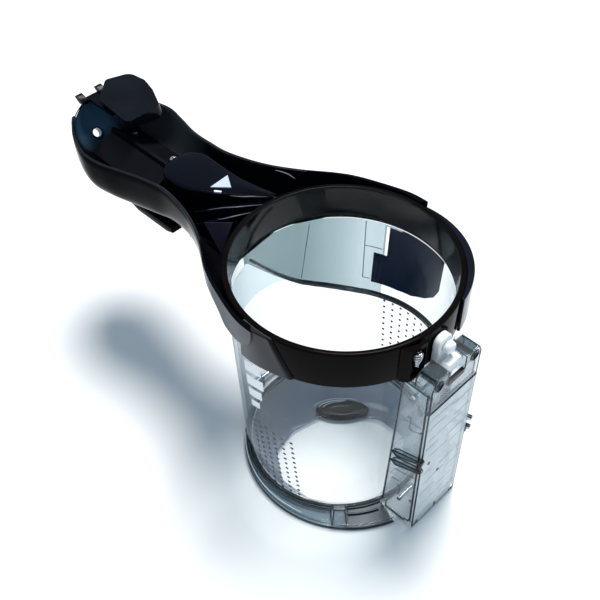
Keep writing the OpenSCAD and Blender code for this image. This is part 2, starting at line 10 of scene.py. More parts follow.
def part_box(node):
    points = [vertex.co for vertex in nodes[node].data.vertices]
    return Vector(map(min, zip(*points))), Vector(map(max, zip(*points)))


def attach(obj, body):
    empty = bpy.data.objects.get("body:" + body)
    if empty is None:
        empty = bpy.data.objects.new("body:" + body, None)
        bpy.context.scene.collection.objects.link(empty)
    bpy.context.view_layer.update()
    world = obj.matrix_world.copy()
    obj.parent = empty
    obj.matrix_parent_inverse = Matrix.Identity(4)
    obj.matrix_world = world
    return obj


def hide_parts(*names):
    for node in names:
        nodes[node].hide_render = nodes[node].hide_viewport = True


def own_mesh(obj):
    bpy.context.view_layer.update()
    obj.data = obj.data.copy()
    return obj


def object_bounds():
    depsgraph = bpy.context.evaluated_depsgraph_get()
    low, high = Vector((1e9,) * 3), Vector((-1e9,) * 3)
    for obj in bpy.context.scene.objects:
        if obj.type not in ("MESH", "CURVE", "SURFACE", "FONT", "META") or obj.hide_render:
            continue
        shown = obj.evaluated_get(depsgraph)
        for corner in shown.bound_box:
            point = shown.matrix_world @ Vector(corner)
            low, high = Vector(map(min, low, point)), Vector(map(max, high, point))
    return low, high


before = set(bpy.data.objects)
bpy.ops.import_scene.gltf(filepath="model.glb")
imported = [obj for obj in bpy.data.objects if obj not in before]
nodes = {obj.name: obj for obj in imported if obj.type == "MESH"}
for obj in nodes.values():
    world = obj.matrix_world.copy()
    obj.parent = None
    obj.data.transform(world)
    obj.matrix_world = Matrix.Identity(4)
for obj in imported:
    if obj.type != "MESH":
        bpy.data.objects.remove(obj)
cad_low, cad_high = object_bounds()
MM = 0.001
WELD = 1e-6


def box(node):
    """Low and high corner of a CAD node in millimetres."""
    low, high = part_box(node)
    return low / MM, high / MM


# ---- sizes taken from the frame ----

collar_low, collar_high = box("collar")
drum_high = box("drum")[1]
cover_high = box("cover_lower")[1]
post_low, post_high = box("latch_post")

TOP = collar_high.z
BAND_BOTTOM = collar_low.z
COLLAR_OUT = -collar_low.x
COLLAR_WALL = 3.4
COLLAR_IN = COLLAR_OUT - COLLAR_WALL
DRUM_TOP = drum_high.z
DRUM_BASE = 3.6
DRUM_TOP_R = drum_high.y
DRUM_BASE_R = 55.0
WALL = 2.0
FRONT_X = cover_high.x
CHANNEL_HALF = cover_high.y


# ---- small geometry helpers ----

def polar(radius, azimuth, z):
    """Point at an azimuth in degrees round the drum's axis."""
    a = math.radians(azimuth)
    return Vector((radius * math.cos(a), radius * math.sin(a), z))


def mix(a, b, t):
    return a + (b - a) * t


def curve(a, b, c, d, t):
    """Smooth step from b to c, with a before them and d after them."""
    return b + 0.5 * t * (c - a + t * (2 * a - 5 * b + 4 * c - d + t * (3 * (b - c) + d - a)))


def ease(t):
    t = min(1.0, max(0.0, t))
    return t * t * (3 - 2 * t)


def table(rows, x):
    """Smooth value at x from rows of (x, value)."""
    if x <= rows[0][0]:
        return rows[0][1]
    for (x0, v0), (x1, v1) in zip(rows, rows[1:]):
        if x <= x1:
            return mix(v0, v1, (x - x0) / (x1 - x0))
    return rows[-1][1]


def fillet(points, radius, steps=5):
    """Outline with its corners rounded; radius is a number or one number for each corner."""
    made = []
    count = len(points)
    for i in range(count):
        r = radius[i] if isinstance(radius, (list, tuple)) else radius
        b = Vector(points[i])
        if r <= 0:
            made.append((b.x, b.y))
            continue
        a = Vector(points[i - 1])
        c = Vector(points[(i + 1) % count])
        to_a = (a - b).normalized()
        to_c = (c - b).normalized()
        half = to_a.angle(to_c) / 2
        if half > math.radians(88):
            made.append((b.x, b.y))
            continue
        run = min(r / math.tan(half), 0.48 * (a - b).length, 0.48 * (c - b).length)
        real = run * math.tan(half)
        centre = b + (to_a + to_c).normalized() * (real / math.sin(half))
        start = b + to_a * run - centre
        end = b + to_c * run - centre
        a0 = math.atan2(start.y, start.x)
        turn = math.atan2(end.y, end.x) - a0
        turn = (turn + math.pi) % (2 * math.pi) - math.pi
        for k in range(steps + 1):
            angle = a0 + turn * k / steps
            made.append((centre.x + real * math.cos(angle), centre.y + real * math.sin(angle)))
    return made


def add_object(name, data):
    """New object in the scene."""
    obj = bpy.data.objects.new(name, data)
    bpy.context.scene.collection.objects.link(obj)
    return obj


def add_mesh(name, shape):
    """New mesh object from millimetre points, welded and with its faces turned outward."""
    verts, faces = shape
    mesh = bpy.data.meshes.new(name)
    mesh.from_pydata([Vector(v) * MM for v in verts], [], faces)
    mesh.validate()
    work = bmesh.new()
    work.from_mesh(mesh)
    bmesh.ops.remove_doubles(work, verts=work.verts, dist=WELD)
    bmesh.ops.recalc_face_normals(work, faces=work.faces)
    work.to_mesh(mesh)
    work.free()
    return add_object(name, mesh)


def round_edges(obj, width, segments, sharp):
    """Bevel, in millimetres, along the edges that turn by more than an angle in degrees."""
    rounder = obj.modifiers.new("edge", "BEVEL")
    rounder.width = width * MM
    rounder.segments = segments
    rounder.limit_method = "ANGLE"
    rounder.angle_limit = math.radians(sharp)
    rounder.use_clamp_overlap = True
    return rounder


def even_normals(obj):
    obj.modifiers.new("normals", "WEIGHTED_NORMAL").keep_sharp = True


def piece(name, shape, material, body="container", bevel=0.0, sharp=35, stands_for=()):
    """Piece from (verts, faces) in millimetres, shaded smooth, riding on a body."""
    obj = add_mesh(name, shape)
    obj.data.materials.append(material)
    obj.data.shade_smooth()
    if bevel > 0:
        round_edges(obj, bevel, 3, sharp)
        even_normals(obj)
    else:
        obj.data.set_sharp_from_angle(angle=math.radians(sharp))
    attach(obj, body)
    if stands_for:
        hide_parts(*stands_for)
    return obj


def carve(obj, shape):
    """Cuts a closed shape out of a piece, before the piece's own modifiers."""
    cutter = add_mesh("cutter", shape)
    cut = obj.modifiers.new("cut", "BOOLEAN")
    cut.operation = "DIFFERENCE"
    cut.object = cutter
    cut.solver = "EXACT"
    own = [m.name for m in obj.modifiers if m.name != "cut"]
    for name in own:
        obj.modifiers[name].show_viewport = False
    bpy.context.view_layer.update()
    seen = obj.evaluated_get(bpy.context.evaluated_depsgraph_get())
    made = bpy.data.meshes.new_from_object(seen)
    obj.modifiers.remove(cut)
    for name in own:
        obj.modifiers[name].show_viewport = True
    spent = [obj.data, cutter.data]
    obj.data = made
    made.name = obj.name
    bpy.data.objects.remove(cutter)
    for mesh in spent:
        bpy.data.meshes.remove(mesh)


def loop_faces(segments, count):
    """Faces of closed sections, of so many points each, set round a closed ring."""
    faces = []
    for i in range(segments):
        j = (i + 1) % segments
        for k in range(count):
            m = (k + 1) % count
            faces.append((i * count + k, j * count + k, j * count + m, i * count + m))
    return faces


def lathe_shape(profile, segments):
    """Closed outline of (radius, z) turned round a vertical axis."""
    verts = [polar(r, 360 * i / segments, z) for i in range(segments) for r, z in profile]
    return verts, loop_faces(segments, len(profile))


def prism_faces(count):
    """Two caps of so many points and the band between them."""
    caps = [tuple(range(count)), tuple(range(count, 2 * count))]
    return caps + [(i, (i + 1) % count, count + (i + 1) % count, count + i) for i in range(count)]


def prism_shape(outline, low, high, place):
    """Outline pushed from low to high; place turns (a, b, depth) into a point."""
    verts = [place(a, b, depth) for depth in (low, high) for a, b in outline]
    return verts, prism_faces(len(outline))


def along_y(a, b, depth):
    return Vector((a, depth, b))


def along_x(a, b, depth):
    return Vector((depth, a, b))


def along_z(a, b, depth):
    return Vector((a, b, depth))


def rectangle(a0, a1, b0, b1):
    return [(a0, b0), (a1, b0), (a1, b1), (a0, b1)]


def tube_shape(path, radius, sides=10):
    """Closed round tube along a list of points."""
    verts = []
    side = None
    for i, p in enumerate(path):
        ahead = (path[min(i + 1, len(path) - 1)] - path[max(i - 1, 0)]).normalized()
        if side is None:
            pick = Vector((0, 0, 1)) if abs(ahead.z) < 0.8 else Vector((1, 0, 0))
            side = ahead.cross(pick).normalized()
        side = (side - ahead * side.dot(ahead)).normalized()
        up = ahead.cross(side)
        for k in range(sides):
            angle = 2 * math.pi * k / sides
            verts.append(p + side * (radius * math.cos(angle)) + up * (radius * math.sin(angle)))
    return verts, grid_faces(len(path), sides)


def joined(shapes):
    """Several (verts, faces) as one."""
    verts = []
    faces = []
    for more_verts, more_faces in shapes:
        start = len(verts)
        verts += more_verts
        faces += [tuple(start + k for k in face) for face in more_faces]
    return verts, faces


def grid_faces(rows, columns):
    """Faces of a grid of points that is closed across its columns and capped at both ends."""
    faces = []
    for i in range(rows - 1):
        for k in range(columns):
            m = (k + 1) % columns
            faces.append((i * columns + k, (i + 1) * columns + k, (i + 1) * columns + m, i * columns + m))
    faces.append(tuple(range(columns)))
    faces.append(tuple((rows - 1) * columns + k for k in range(columns)))
    return faces


def slab_faces(rows, columns):
    """Faces of two equal grids of points, joined round their edges."""
    faces = []
    line = columns + 1
    back = (rows + 1) * line
    for i in range(rows):
        for k in range(columns):
            p = i * line + k
            faces.append((p, p + 1, p + line + 1, p + line))
            faces.append((back + p, back + p + line, back + p + line + 1, back + p + 1))
    for k in range(columns):
        top = rows * line + k
        faces.append((k, back + k, back + k + 1, k + 1))
        faces.append((top, top + 1, back + top + 1, back + top))
    for i in range(rows):
        p = i * line
        q = p + columns
        faces.append((p, p + line, back + p + line, back + p))
        faces.append((q, back + q, back + q + line, q + line))
    return faces


def sheet_shape(rows, columns, point):
    """Thin closed sheet; point(layer, v, u) is on its inner side, 0, or its outer side, 1."""
    verts = [point(layer, i / rows, k / columns) for layer in (0, 1) for i in range(rows + 1)
             for k in range(columns + 1)]
    return verts, slab_faces(rows, columns)


# ---- materials ----

def new_material(name):
    """Material, its node tree and the object-space place that its textures use."""
    made = bpy.data.materials.new(name)
    made.use_nodes = True
    tree = made.node_tree
    tree.nodes.clear()
    tree.nodes.new("ShaderNodeOutputMaterial")
    return made, tree, tree.nodes.new("ShaderNodeTexCoord").outputs["Object"]


def show(tree, surface):
    tree.links.new(surface, tree.nodes["Material Output"].inputs["Surface"])


def add_node(tree, kind, inputs, **settings):
    """Shader node; each input is a value or another node's output."""
    node = tree.nodes.new("ShaderNode" + kind)
    for name, value in settings.items():
        setattr(node, name, value)
    for key, value in inputs.items():
        if isinstance(value, bpy.types.NodeSocket):
            tree.links.new(value, node.inputs[key])
        else:
            node.inputs[key].default_value = value
    return node


def noise(tree, place, scale, detail=3.0, rough=0.5, stretch=(1, 1, 1)):
    """Noise factor in object space; scale is in cycles for each metre."""
    mapping = add_node(tree, "Mapping", {"Scale": stretch, "Vector": place})
    texture = add_node(tree, "TexNoise", {"Scale": scale, "Detail": detail, "Roughness": rough,
                                          "Vector": mapping.outputs["Vector"]})
    return texture.outputs["Fac"]


def remap(tree, value, low, high, start=0.3, end=0.7):
    return add_node(tree, "MapRange", {"From Min": start, "From Max": end, "To Min": low, "To Max": high,
                                       "Value": value}).outputs["Result"]


def ramp(tree, value, stops):
    node = add_node(tree, "ValToRGB", {"Fac": value})
    element = node.color_ramp.elements
    while len(element) < len(stops):
        element.new(0.5)
    for i, (position, colour) in enumerate(stops):
        element[i].position = position
        element[i].color = (*colour, 1)
    return node.outputs["Color"]


def bump(tree, height, strength, distance, over=None):
    """Relief from a height, on top of another relief if there is one."""
    inputs = {"Strength": strength, "Distance": distance, "Height": height}
    if over:
        inputs["Normal"] = over
    return add_node(tree, "Bump", inputs).outputs["Normal"]


def math_node(tree, operation, a, b):
    return add_node(tree, "Math", {0: a, 1: b}, operation=operation).outputs["Value"]


def facing(tree):
    """How far the surface is turned away from the eye."""
    return add_node(tree, "LayerWeight", {"Blend": 0.5}).outputs["Facing"]


def blend_shaders(tree, share, a, b):
    return add_node(tree, "MixShader", {"Fac": share, 1: a, 2: b}).outputs["Shader"]


def blend_along_x(tree, place, colours, far_colour, far_x):
    """Mixes toward another colour between two x positions of the object, in metres."""
    along = add_node(tree, "SeparateXYZ", {"Vector": place}).outputs["X"]
    inputs = {"Factor": remap(tree, along, 0.0, 1.0, *far_x), "A": colours, "B": (*far_colour, 1)}
    return add_node(tree, "Mix", inputs, data_type="RGBA").outputs["Result"]


def scaled(colour, factor):
    return tuple(min(1.0, c * factor) for c in colour)


def plastic(name, colour, rough=(0.1, 0.2), vary=0.3, grain=1400, relief=0.03, level=0.5, metal=0.0,
            wave=0.0, ior=1.5, far_colour=None, far_x=(0.0, 0.0), grazing=None):
    """Moulded plastic or metal: colour drift, dull and glossy patches, fine surface relief."""
    made, tree, place = new_material(name)
    colours = ramp(tree, noise(tree, place, 35, 4.0),
                   [(0.3, scaled(colour, 1 - vary)), (0.5, colour), (0.7, scaled(colour, 1 + vary))])
    # grazing sets the colour by the angle of sight: painted sheen.
    if grazing:
        colours = ramp(tree, facing(tree), grazing)
    # far_colour blends toward another colour along x; here it carries painted reflections and fades the
    # painted sheen.
    if far_colour:
        colours = blend_along_x(tree, place, colours, far_colour, far_x)
    patches = remap(tree, noise(tree, place, 90, 5.0, 0.6), *rough)
    normal = bump(tree, noise(tree, place, grain, 2.0), relief, 0.0002)
    if wave > 0:
        normal = bump(tree, noise(tree, place, 60, 1.0), wave, 0.002, normal)
    show(tree, add_node(tree, "BsdfPrincipled", {
        "Base Color": colours, "Roughness": patches, "Normal": normal, "Metallic": metal, "IOR": ior,
        "Specular IOR Level": level}).outputs["BSDF"])
    return made


def clear(name, face_on, edge_on, rough, smears, power, far_colour=None, far_x=(0.0, 0.0), haze=0.0):
    """Clear plastic wall: the tint deepens toward grazing angles, over a smooth reflection."""
    made, tree, place = new_material(name)
    depth = math_node(tree, "POWER", facing(tree), power)
    drift = noise(tree, place, 40, 5.0, 0.6, (1, 1, 0.35))
    depth = math_node(tree, "ADD", depth, remap(tree, drift, -smears, smears))
    between = tuple(mix(a, b, 0.35) for a, b in zip(face_on, edge_on))
    tint = ramp(tree, depth, [(0.0, face_on), (0.55, between), (1.0, edge_on)])
    # far_colour blends toward another colour along x; here it carries painted shade.
    if far_colour:
        tint = blend_along_x(tree, place, tint, far_colour, far_x)
    through = add_node(tree, "BsdfTransparent", {"Color": tint})
    patches = remap(tree, noise(tree, place, 120, 4.0), rough * 0.6, rough * 1.6)
    gloss = add_node(tree, "BsdfGlossy", {"Color": (1, 1, 1, 1), "Roughness": patches,
                                          "Normal": bump(tree, noise(tree, place, 300, 2.0), 0.04, 0.0003)})
    share = math_node(tree, "MULTIPLY", math_node(tree, "POWER", facing(tree), 5.0), 0.6)
    share = math_node(tree, "ADD", share, 0.004)
    last = blend_shaders(tree, share, through.outputs["BSDF"], gloss.outputs["BSDF"])
    if haze > 0:
        streaks = ramp(tree, noise(tree, place, 160, 4.0, 0.6, (1, 1, 0.3)),
                       [(0.3, (0.78, 0.82, 0.84)), (0.7, (0.92, 0.94, 0.95))])
        milk = add_node(tree, "BsdfDiffuse", {"Color": streaks})
        last = blend_shaders(tree, haze, last, milk.outputs["BSDF"])
    show(tree, last)
    return made


def glossy(name, colour, rough=(0.06, 0.15), relief=0.02, wave=0.04, level=0.015, **more):
    """Polished black moulding with slow waves in its surface."""
    return plastic(name, colour, rough, 0.35, relief=relief, wave=wave, level=level, ior=1.45, **more)


def dull(name, colour, rough=(0.12, 0.24), level=0.08):
    """Dark moulding with a soft shine."""
    return plastic(name, colour, rough, 0.3, relief=0.04, level=level, ior=1.45)


DEEP_BLACK = (0.0030, 0.0030, 0.0048)
# Painted sheen: colours that grey toward grazing angles of sight.
PAINTED_SHEEN = [(0.12, (0.005, 0.005, 0.006)), (0.30, (0.028, 0.027, 0.029)), (0.42, (0.060, 0.060, 0.064)),
         (0.58, (0.15, 0.155, 0.165))]
glossy_black = glossy("glossy_black", (0.0030, 0.0030, 0.0046))
arm_black = glossy("arm_black", DEEP_BLACK)
# Blue toward the cup's end wall: painted reflection.
cup_black_blue_reflection = glossy("cup_black_blue_reflection", DEEP_BLACK, far_colour=(0.075, 0.165, 0.265), far_x=(-0.2035, -0.2125))
edge_black = plastic("edge_black", (0.0030, 0.0032, 0.0048), (0.08, 0.16), 0.35, relief=0.02, level=0.5)
# Grey colour of raised lines laid where highlight streaks run: painted highlight; their strong shine is the
# material's own.
ridge_glint_grey = plastic("ridge_glint_grey", (0.10, 0.10, 0.13), (0.12, 0.2), 0.35, relief=0.02, level=1.0, ior=1.9)
collar_black = glossy("collar_black", (0.0040, 0.0030, 0.0028), (0.07, 0.16), 0.03, 0.05, 0.03)
painted_sheen_black = glossy("painted_sheen_black", (0.004, 0.004, 0.005), (0.10, 0.2), 0.03, 0.05, 0.03,
                     far_colour=DEEP_BLACK, far_x=(-0.052, -0.085), grazing=PAINTED_SHEEN)
# Grey toward the cup end on the trough's far inner wall: painted reflection.
wall_black_grey_reflection = glossy("wall_black_grey_reflection", DEEP_BLACK, far_colour=(0.060, 0.068, 0.078), far_x=(-0.128, -0.158))
inner_black = glossy("inner_black", (0.0045, 0.0045, 0.0050), (0.07, 0.14), 0.03, 0.05, 0.25)
moulding = dull("dark_moulding", (0.0022, 0.0026, 0.0050))
tray_grey = dull("tray_grey", (0.0056, 0.0056, 0.0082), (0.10, 0.22), 0.10)
lobe_grey = dull("lobe_grey", (0.0040, 0.0044, 0.0072), (0.10, 0.22), 0.12)
pad_grey = dull("pad_grey", (0.0022, 0.0026, 0.0056))
web_grey = plastic("web_grey", (0.014, 0.015, 0.028), (0.15, 0.28), 0.3, relief=0.04, level=0.2)
# Blue cast on the black cowl: painted reflection.
cowl_black_blue_reflection = plastic("cowl_black_blue_reflection", (0.003, 0.0035, 0.010), (0.08, 0.18), 0.35, relief=0.02, level=0.3, ior=1.42)
rubber = plastic("seal_rubber", (0.008, 0.012, 0.016), (0.45, 0.65), 0.3, relief=0.12, level=0.15)
rib_dark = plastic("dark_rib", (0.022, 0.028, 0.034), (0.2, 0.35), 0.3, relief=0.05)
navy = plastic("navy_label", (0.0015, 0.0080, 0.030), (0.3, 0.42), 0.2, grain=900, relief=0.02, level=0.1)
white = plastic("white_plastic", (0.84, 0.85, 0.86), (0.22, 0.34), 0.05, relief=0.04)
print_white = plastic("pale_print", (0.82, 0.85, 0.9), (0.3, 0.45), 0.06, relief=0.05)
print_grey = plastic("print_grey", (0.022, 0.028, 0.036), (0.3, 0.45), 0.2, relief=0.05)
print_line = plastic("print_line", (0.16, 0.18, 0.21), (0.3, 0.45), 0.2, relief=0.05)
milky = plastic("milky_rod", (0.62, 0.68, 0.72), (0.25, 0.4), 0.08, relief=0.05)
bush_blue = plastic("bush_blue", (0.035, 0.07, 0.16), (0.2, 0.3), 0.25, relief=0.04)
steel = plastic("steel", (0.62, 0.63, 0.65), (0.18, 0.3), 0.1, relief=0.05, metal=1.0)
screw_black = plastic("screw_black", (0.006, 0.007, 0.009), (0.25, 0.4), 0.3, relief=0.08, level=0.25)
print_pale = plastic("print_pale", (0.47, 0.53, 0.64), (0.3, 0.45), 0.06, relief=0.05)
hub_grey = plastic("hub_grey", (0.013, 0.011, 0.014), (0.25, 0.4), 0.4, relief=0.08, level=0.2)
# Pale colour for lines laid where highlights run: painted highlight.
pale_glint = plastic("pale_glint", (0.50, 0.55, 0.60), (0.2, 0.35), 0.15, relief=0.05)
clear_drum = clear("clear_drum", (0.972, 0.985, 0.99), (0.34, 0.42, 0.47), 0.03, 0.02, 3.4)
clear_lid = clear("clear_lid", (0.985, 0.99, 0.992), (0.30, 0.36, 0.40), 0.05, 0.03, 3.0)
clear_channel = clear("clear_channel", (0.965, 0.976, 0.982), (0.35, 0.41, 0.46), 0.05, 0.04, 3.0, haze=0.12)
clear_front = clear("clear_front", (0.985, 0.99, 0.992), (0.5, 0.56, 0.6), 0.05, 0.05, 3.0, haze=0.5)
clear_ear = clear("clear_ear", (0.92, 0.94, 0.955), (0.20, 0.25, 0.29), 0.05, 0.05, 2.2, haze=0.05)
clear_deep = clear("clear_deep", (0.28, 0.37, 0.41), (0.10, 0.14, 0.17), 0.06, 0.10, 1.6)
clear_smoky = clear("clear_smoky", (0.55, 0.62, 0.66), (0.06, 0.08, 0.10), 0.06, 0.06, 1.6)
# Sheets on the far wall that grey it, deeper toward -x, paler below the ramp's line: painted shade.
far_wall_painted_shade_low = clear("far_wall_painted_shade_low", (0.88, 0.925, 0.94), (0.66, 0.73, 0.76), 0.08, 0.06, 2.4)
far_wall_painted_shade = clear("far_wall_painted_shade", (0.71, 0.765, 0.785), (0.42, 0.49, 0.51), 0.08, 0.05, 2.4,
                   far_colour=(0.47, 0.545, 0.56), far_x=(-0.030, -0.054))
# Painted shade on the lid's floor round the lit patch, lighter toward +x.
lid_step_painted_shade = clear("lid_step_painted_shade", (0.64, 0.665, 0.705), (0.42, 0.46, 0.49), 0.08, 0.10, 1.6,
                   far_colour=(0.82, 0.85, 0.87), far_x=(0.012, 0.036))
clear_flange = clear("clear_flange", (0.68, 0.735, 0.765), (0.10, 0.13, 0.16), 0.06, 0.06, 1.6)
# Opaque colour that darkens the lid's flange tail: painted shade.
tail_painted_shade = plastic("tail_painted_shade", (0.020, 0.045, 0.060), (0.2, 0.35), 0.45, relief=0.05, level=0.2)
clear_lug = clear("clear_lug", (0.84, 0.86, 0.90), (0.40, 0.44, 0.50), 0.05, 0.06, 2.2, haze=0.14)
clear_rim = clear("clear_rim", (0.80, 0.84, 0.86), (0.3, 0.36, 0.4), 0.06, 0.06, 2.0)
edge_dark = plastic("clear_edge", (0.016, 0.028, 0.038), (0.1, 0.25), 0.3, relief=0.04, level=0.3)


def keep(node, material, bevel=0.0, sharp=30, segments=2, edge=None):
    """A CAD node that stays, with its edges rounded and its own finish; edge is the rounding's."""
    obj = nodes[node]
    obj.data.materials.clear()
    obj.data.materials.append(material)
    if edge:
        obj.data.materials.append(edge)
    if "custom_normal" in obj.data.attributes:
        obj.data.attributes.remove(obj.data.attributes["custom_normal"])
    obj.data.shade_smooth()
    weld = obj.modifiers.new("weld", "WELD")
    weld.merge_threshold = 2 * WELD
    if bevel > 0:
        rounder = round_edges(obj, bevel, segments, sharp)
        if edge:
            rounder.material = 1
    even_normals(obj)
    return obj


def zone(obj, material, inside):
    """Gives faces of a piece another finish where inside(centre, normal) is true, in millimetres."""
    obj.data.materials.append(material)
    index = len(obj.data.materials) - 1
    for face in obj.data.polygons:
        if inside(face.center / MM, face.normal):
            face.material_index = index


# ---- collar ----

band = fillet([(COLLAR_IN, 125.5), (COLLAR_OUT - 1.3, 125.5), (COLLAR_OUT - 1.3, BAND_BOTTOM),
               (COLLAR_OUT, BAND_BOTTOM), (COLLAR_OUT, TOP), (COLLAR_IN, TOP)],
              [0.4, 0.0, 0.3, 0.5, 1.3, 1.1], 6)
collar_piece = piece("collar_band", lathe_shape(band, 288), collar_black,
                     stands_for=["collar"], sharp=50)
zone(collar_piece, inner_black, lambda c, n: c.x * n.x + c.y * n.y < -30)

boss = fillet([(56.9, -23.5), (58.2, -23.5), (62.0, -21.0), (63.4, -10.5), (60.2, -10.5), (61.0, -15)],
              [0, 1.2, 2.0, 1.0, 0, 0], 4)
boss_piece = piece("collar_boss", prism_shape(boss, BAND_BOTTOM, TOP - 1, along_z), collar_black,
                   stands_for=["collar"], bevel=0.35, sharp=40)
carve(boss_piece, prism_shape(fillet(rectangle(58.9, 68.9, -19.6, -11.6), 0.6), 125, 141, along_z))

keep("inlet_cowl", cowl_black_blue_reflection, 0.8, 30, 3)

# ---- arm ----

STATIONS = [(-218.4, 16.5, 56, 137, 131, 2.2), (-213, 21, 48, 137, 116, 2.2),
            (-201, 28, 34, 136.5, 104.5, 2.2), (-182, 33, 18, 135.5, 101, 2.2),
            (-164, 31.5, 4, 134.5, 101, 2.2), (-147, 27.5, 1, 135.5, 102, 2.2),
            (-130, 25, 3, 138, 104.5, 2.2), (-113, 24.5, 8, 140, 108.5, 2.2),
            (-92, 30, 18, 142, 114, 2.2), (-76, 40, 30, 144, 118, 2.3), (-69, 53, 50, 145, 120.5, 2.4),
            (-65.2, 60, 66, 145, 121.3, 2.5), (-63, 64.5, 79, 145, 121.5, 2.8),
            (-61.6, 65, 88, 145, 121.5, 3.35)]
FLOOR_T = 2.2
SPANS = len(STATIONS) - 1


def station(t, c):
    """Smooth curve through one column of the stations."""
    i = min(int(math.floor(t)), SPANS - 1)
    u = t - i
    a = STATIONS[max(i - 1, 0)][c]
    b = STATIONS[i][c]
    d = STATIONS[i + 1][c]
    e = STATIONS[min(i + 2, SPANS)][c]
    return curve(a, b, d, e, u)


def arm_point(t, v, inner):
    """Point of the arm's section; v runs from one rim through the floor to the other."""
    square = 2.6 if inner else 3.2
    bow = math.radians(max(station(t, 2), 0.5))
    half_width = station(t, 1) - (station(t, 5) if inner else 0)
    rim = station(t, 3)
    belly = station(t, 4) + (FLOOR_T if inner else 0)
    side = abs(math.sin(math.pi / 2 * v)) ** (2 / square) * (1 if v >= 0 else -1)
    drop = max(0.0, math.cos(math.pi / 2 * v)) ** (2 / square)
    radius = half_width / math.sin(bow)
    tip = FLOOR_T * max(0, 1 - t) if inner else 0
    x = station(t, 0) + tip + radius * (1 - math.cos(side * bow))
    y = radius * math.sin(side * bow)
    z = rim - (rim - min(belly, rim - 0.8)) * drop
    return Vector((x, y, z))


def hug(point):
    """Keeps a point of the arm outside the collar band."""
    flat = math.hypot(point.x, point.y)
    limit = COLLAR_OUT + 0.05
    if flat < limit:
        return Vector((point.x * limit / flat, point.y * limit / flat, point.z))
    return point


def arm_shape():
    """The open trough with rounded rims."""
    steps = 10
    across = 72
    rows = SPANS * steps + 1
    verts = []
    for i in range(rows):
        ring, inner = ([hug(arm_point(i / steps, 2 * k / across - 1, inside)) for k in range(across + 1)]
                       for inside in (False, True))
        ring += rim_round(ring[-1], inner[-1])
        ring += inner[::-1]
        ring += rim_round(inner[0], ring[0])
        verts += [Vector((p.x, p.y, min(p.z, TOP))) for p in ring]
    return verts, grid_faces(rows, len(verts) // rows)


def rim_round(a, b):
    """Crown of the rim between its outer edge a and its inner edge b."""
    crown = 0.55
    return [a.lerp(b, s) + Vector((0, 0, crown * math.sin(math.pi * s))) for s in (0.15, 0.35, 0.65, 0.85)]


arm = piece("arm_trough", arm_shape(), arm_black, stands_for=["arm_shell"], sharp=55)
zone(arm, wall_black_grey_reflection, lambda c, n: c.y > 6 and n.y < -0.15 and c.x > -196)
zone(arm, cup_black_blue_reflection, lambda c, n: c.x < -202 and n.x > 0.05)
# Painted sheen on the outer side of the arm's near flange.
zone(arm, painted_sheen_black, lambda c, n: c.x > -86 and c.y < -22 and n.y < -0.2)
zone(arm, edge_black, lambda c, n: c.z > 133.8 and n.z > 0.5 and c.x < -64)


def brow_shape():
    """Wall that carries the cup's end up to the sliding hooks."""
    centre_x = -198.5
    columns = 40
    verts = []
    for k in range(columns + 1):
        y = mix(-13.6, 13.0, k / columns)
        top = table([(-13.6, 133.0), (-6, 135.2), (1.5, 138.1), (13.0, 138.1)], y)
        low = top - 5.5
        row = [(19.85, low), (19.85, mix(low, top, 0.6)), (19.85, top - 0.7), (19.6, top - 0.2), (19.0, top),
               (18.4, top - 0.2), (18.0, top - 0.7), (17.9, mix(low, top, 0.6)), (17.9, low)]
        for radius, z in row:
            verts.append(Vector((centre_x - math.sqrt(radius ** 2 - y ** 2), y, z)))
    return verts, grid_faces(columns + 1, 9)


brow = piece("arm_brow", brow_shape(), arm_black, stands_for=["arm_shell"], sharp=55)
zone(brow, cup_black_blue_reflection, lambda c, n: n.x > 0.05)
zone(brow, edge_black, lambda c, n: n.z > 0.5)


def wrap_shape():
    """Thin tail of the arm's near flange on the collar band, cut off on a slant."""
    def point(layer, v, u):
        fade = ease(u * 1.05)
        out = (3.3 * (1 - fade) + 1.5 * fade) * (1 - 0.35 * max(0, (u - 0.94) / 0.06))
        azimuth = mix(-97, mix(-69.5, -80.5, v), u)
        return polar(COLLAR_OUT + (out if layer else -0.3), azimuth, mix(BAND_BOTTOM, TOP - 0.4, v))
    return sheet_shape(16, 28, point)


# The flange tail greys toward grazing angles: painted sheen.
piece("flange_tail", wrap_shape(), painted_sheen_black, bevel=0.4, sharp=60)

socket_low, socket_high = box("socket_bush")
SOCKET = (socket_low + socket_high) / 2
SOCKET_TILT = 50.7
SOCKET_R = 4.0


def tilted_disc(radius, low, high, count=48):
    """Cylinder along the bush's own axis."""
    turn = Matrix.Rotation(math.radians(SOCKET_TILT), 3, "Y")
    outline = [(radius * math.cos(2 * math.pi * k / count), radius * math.sin(2 * math.pi * k / count))
               for k in range(count)]
    return prism_shape(outline, low, high, lambda a, b, d: SOCKET + turn @ Vector((a, b, d)))


carve(arm, tilted_disc(SOCKET_R, -10, 10))
keep("socket_bush", bush_blue, 0.25, 40)

keep("arm_tray", tray_grey, 0.5, 20, 3)
keep("end_lobe", lobe_grey, 0.7, 28, 3)
keep("hook_slider", moulding, 0.5, 30, 3)
keep("tray_screws", steel, 0.12, 40)
keep("button_guide", glossy_black, 0.4, 40, 3)
keep("arm_button", moulding, 0.45, 30, 3)


TONGUE_R = 15.0
TONGUE_ROUND_X = -119.0
TONGUE_START = TONGUE_ROUND_X - TONGUE_R
TONGUE_END = -62.2
TONGUE_EDGE = 2.6


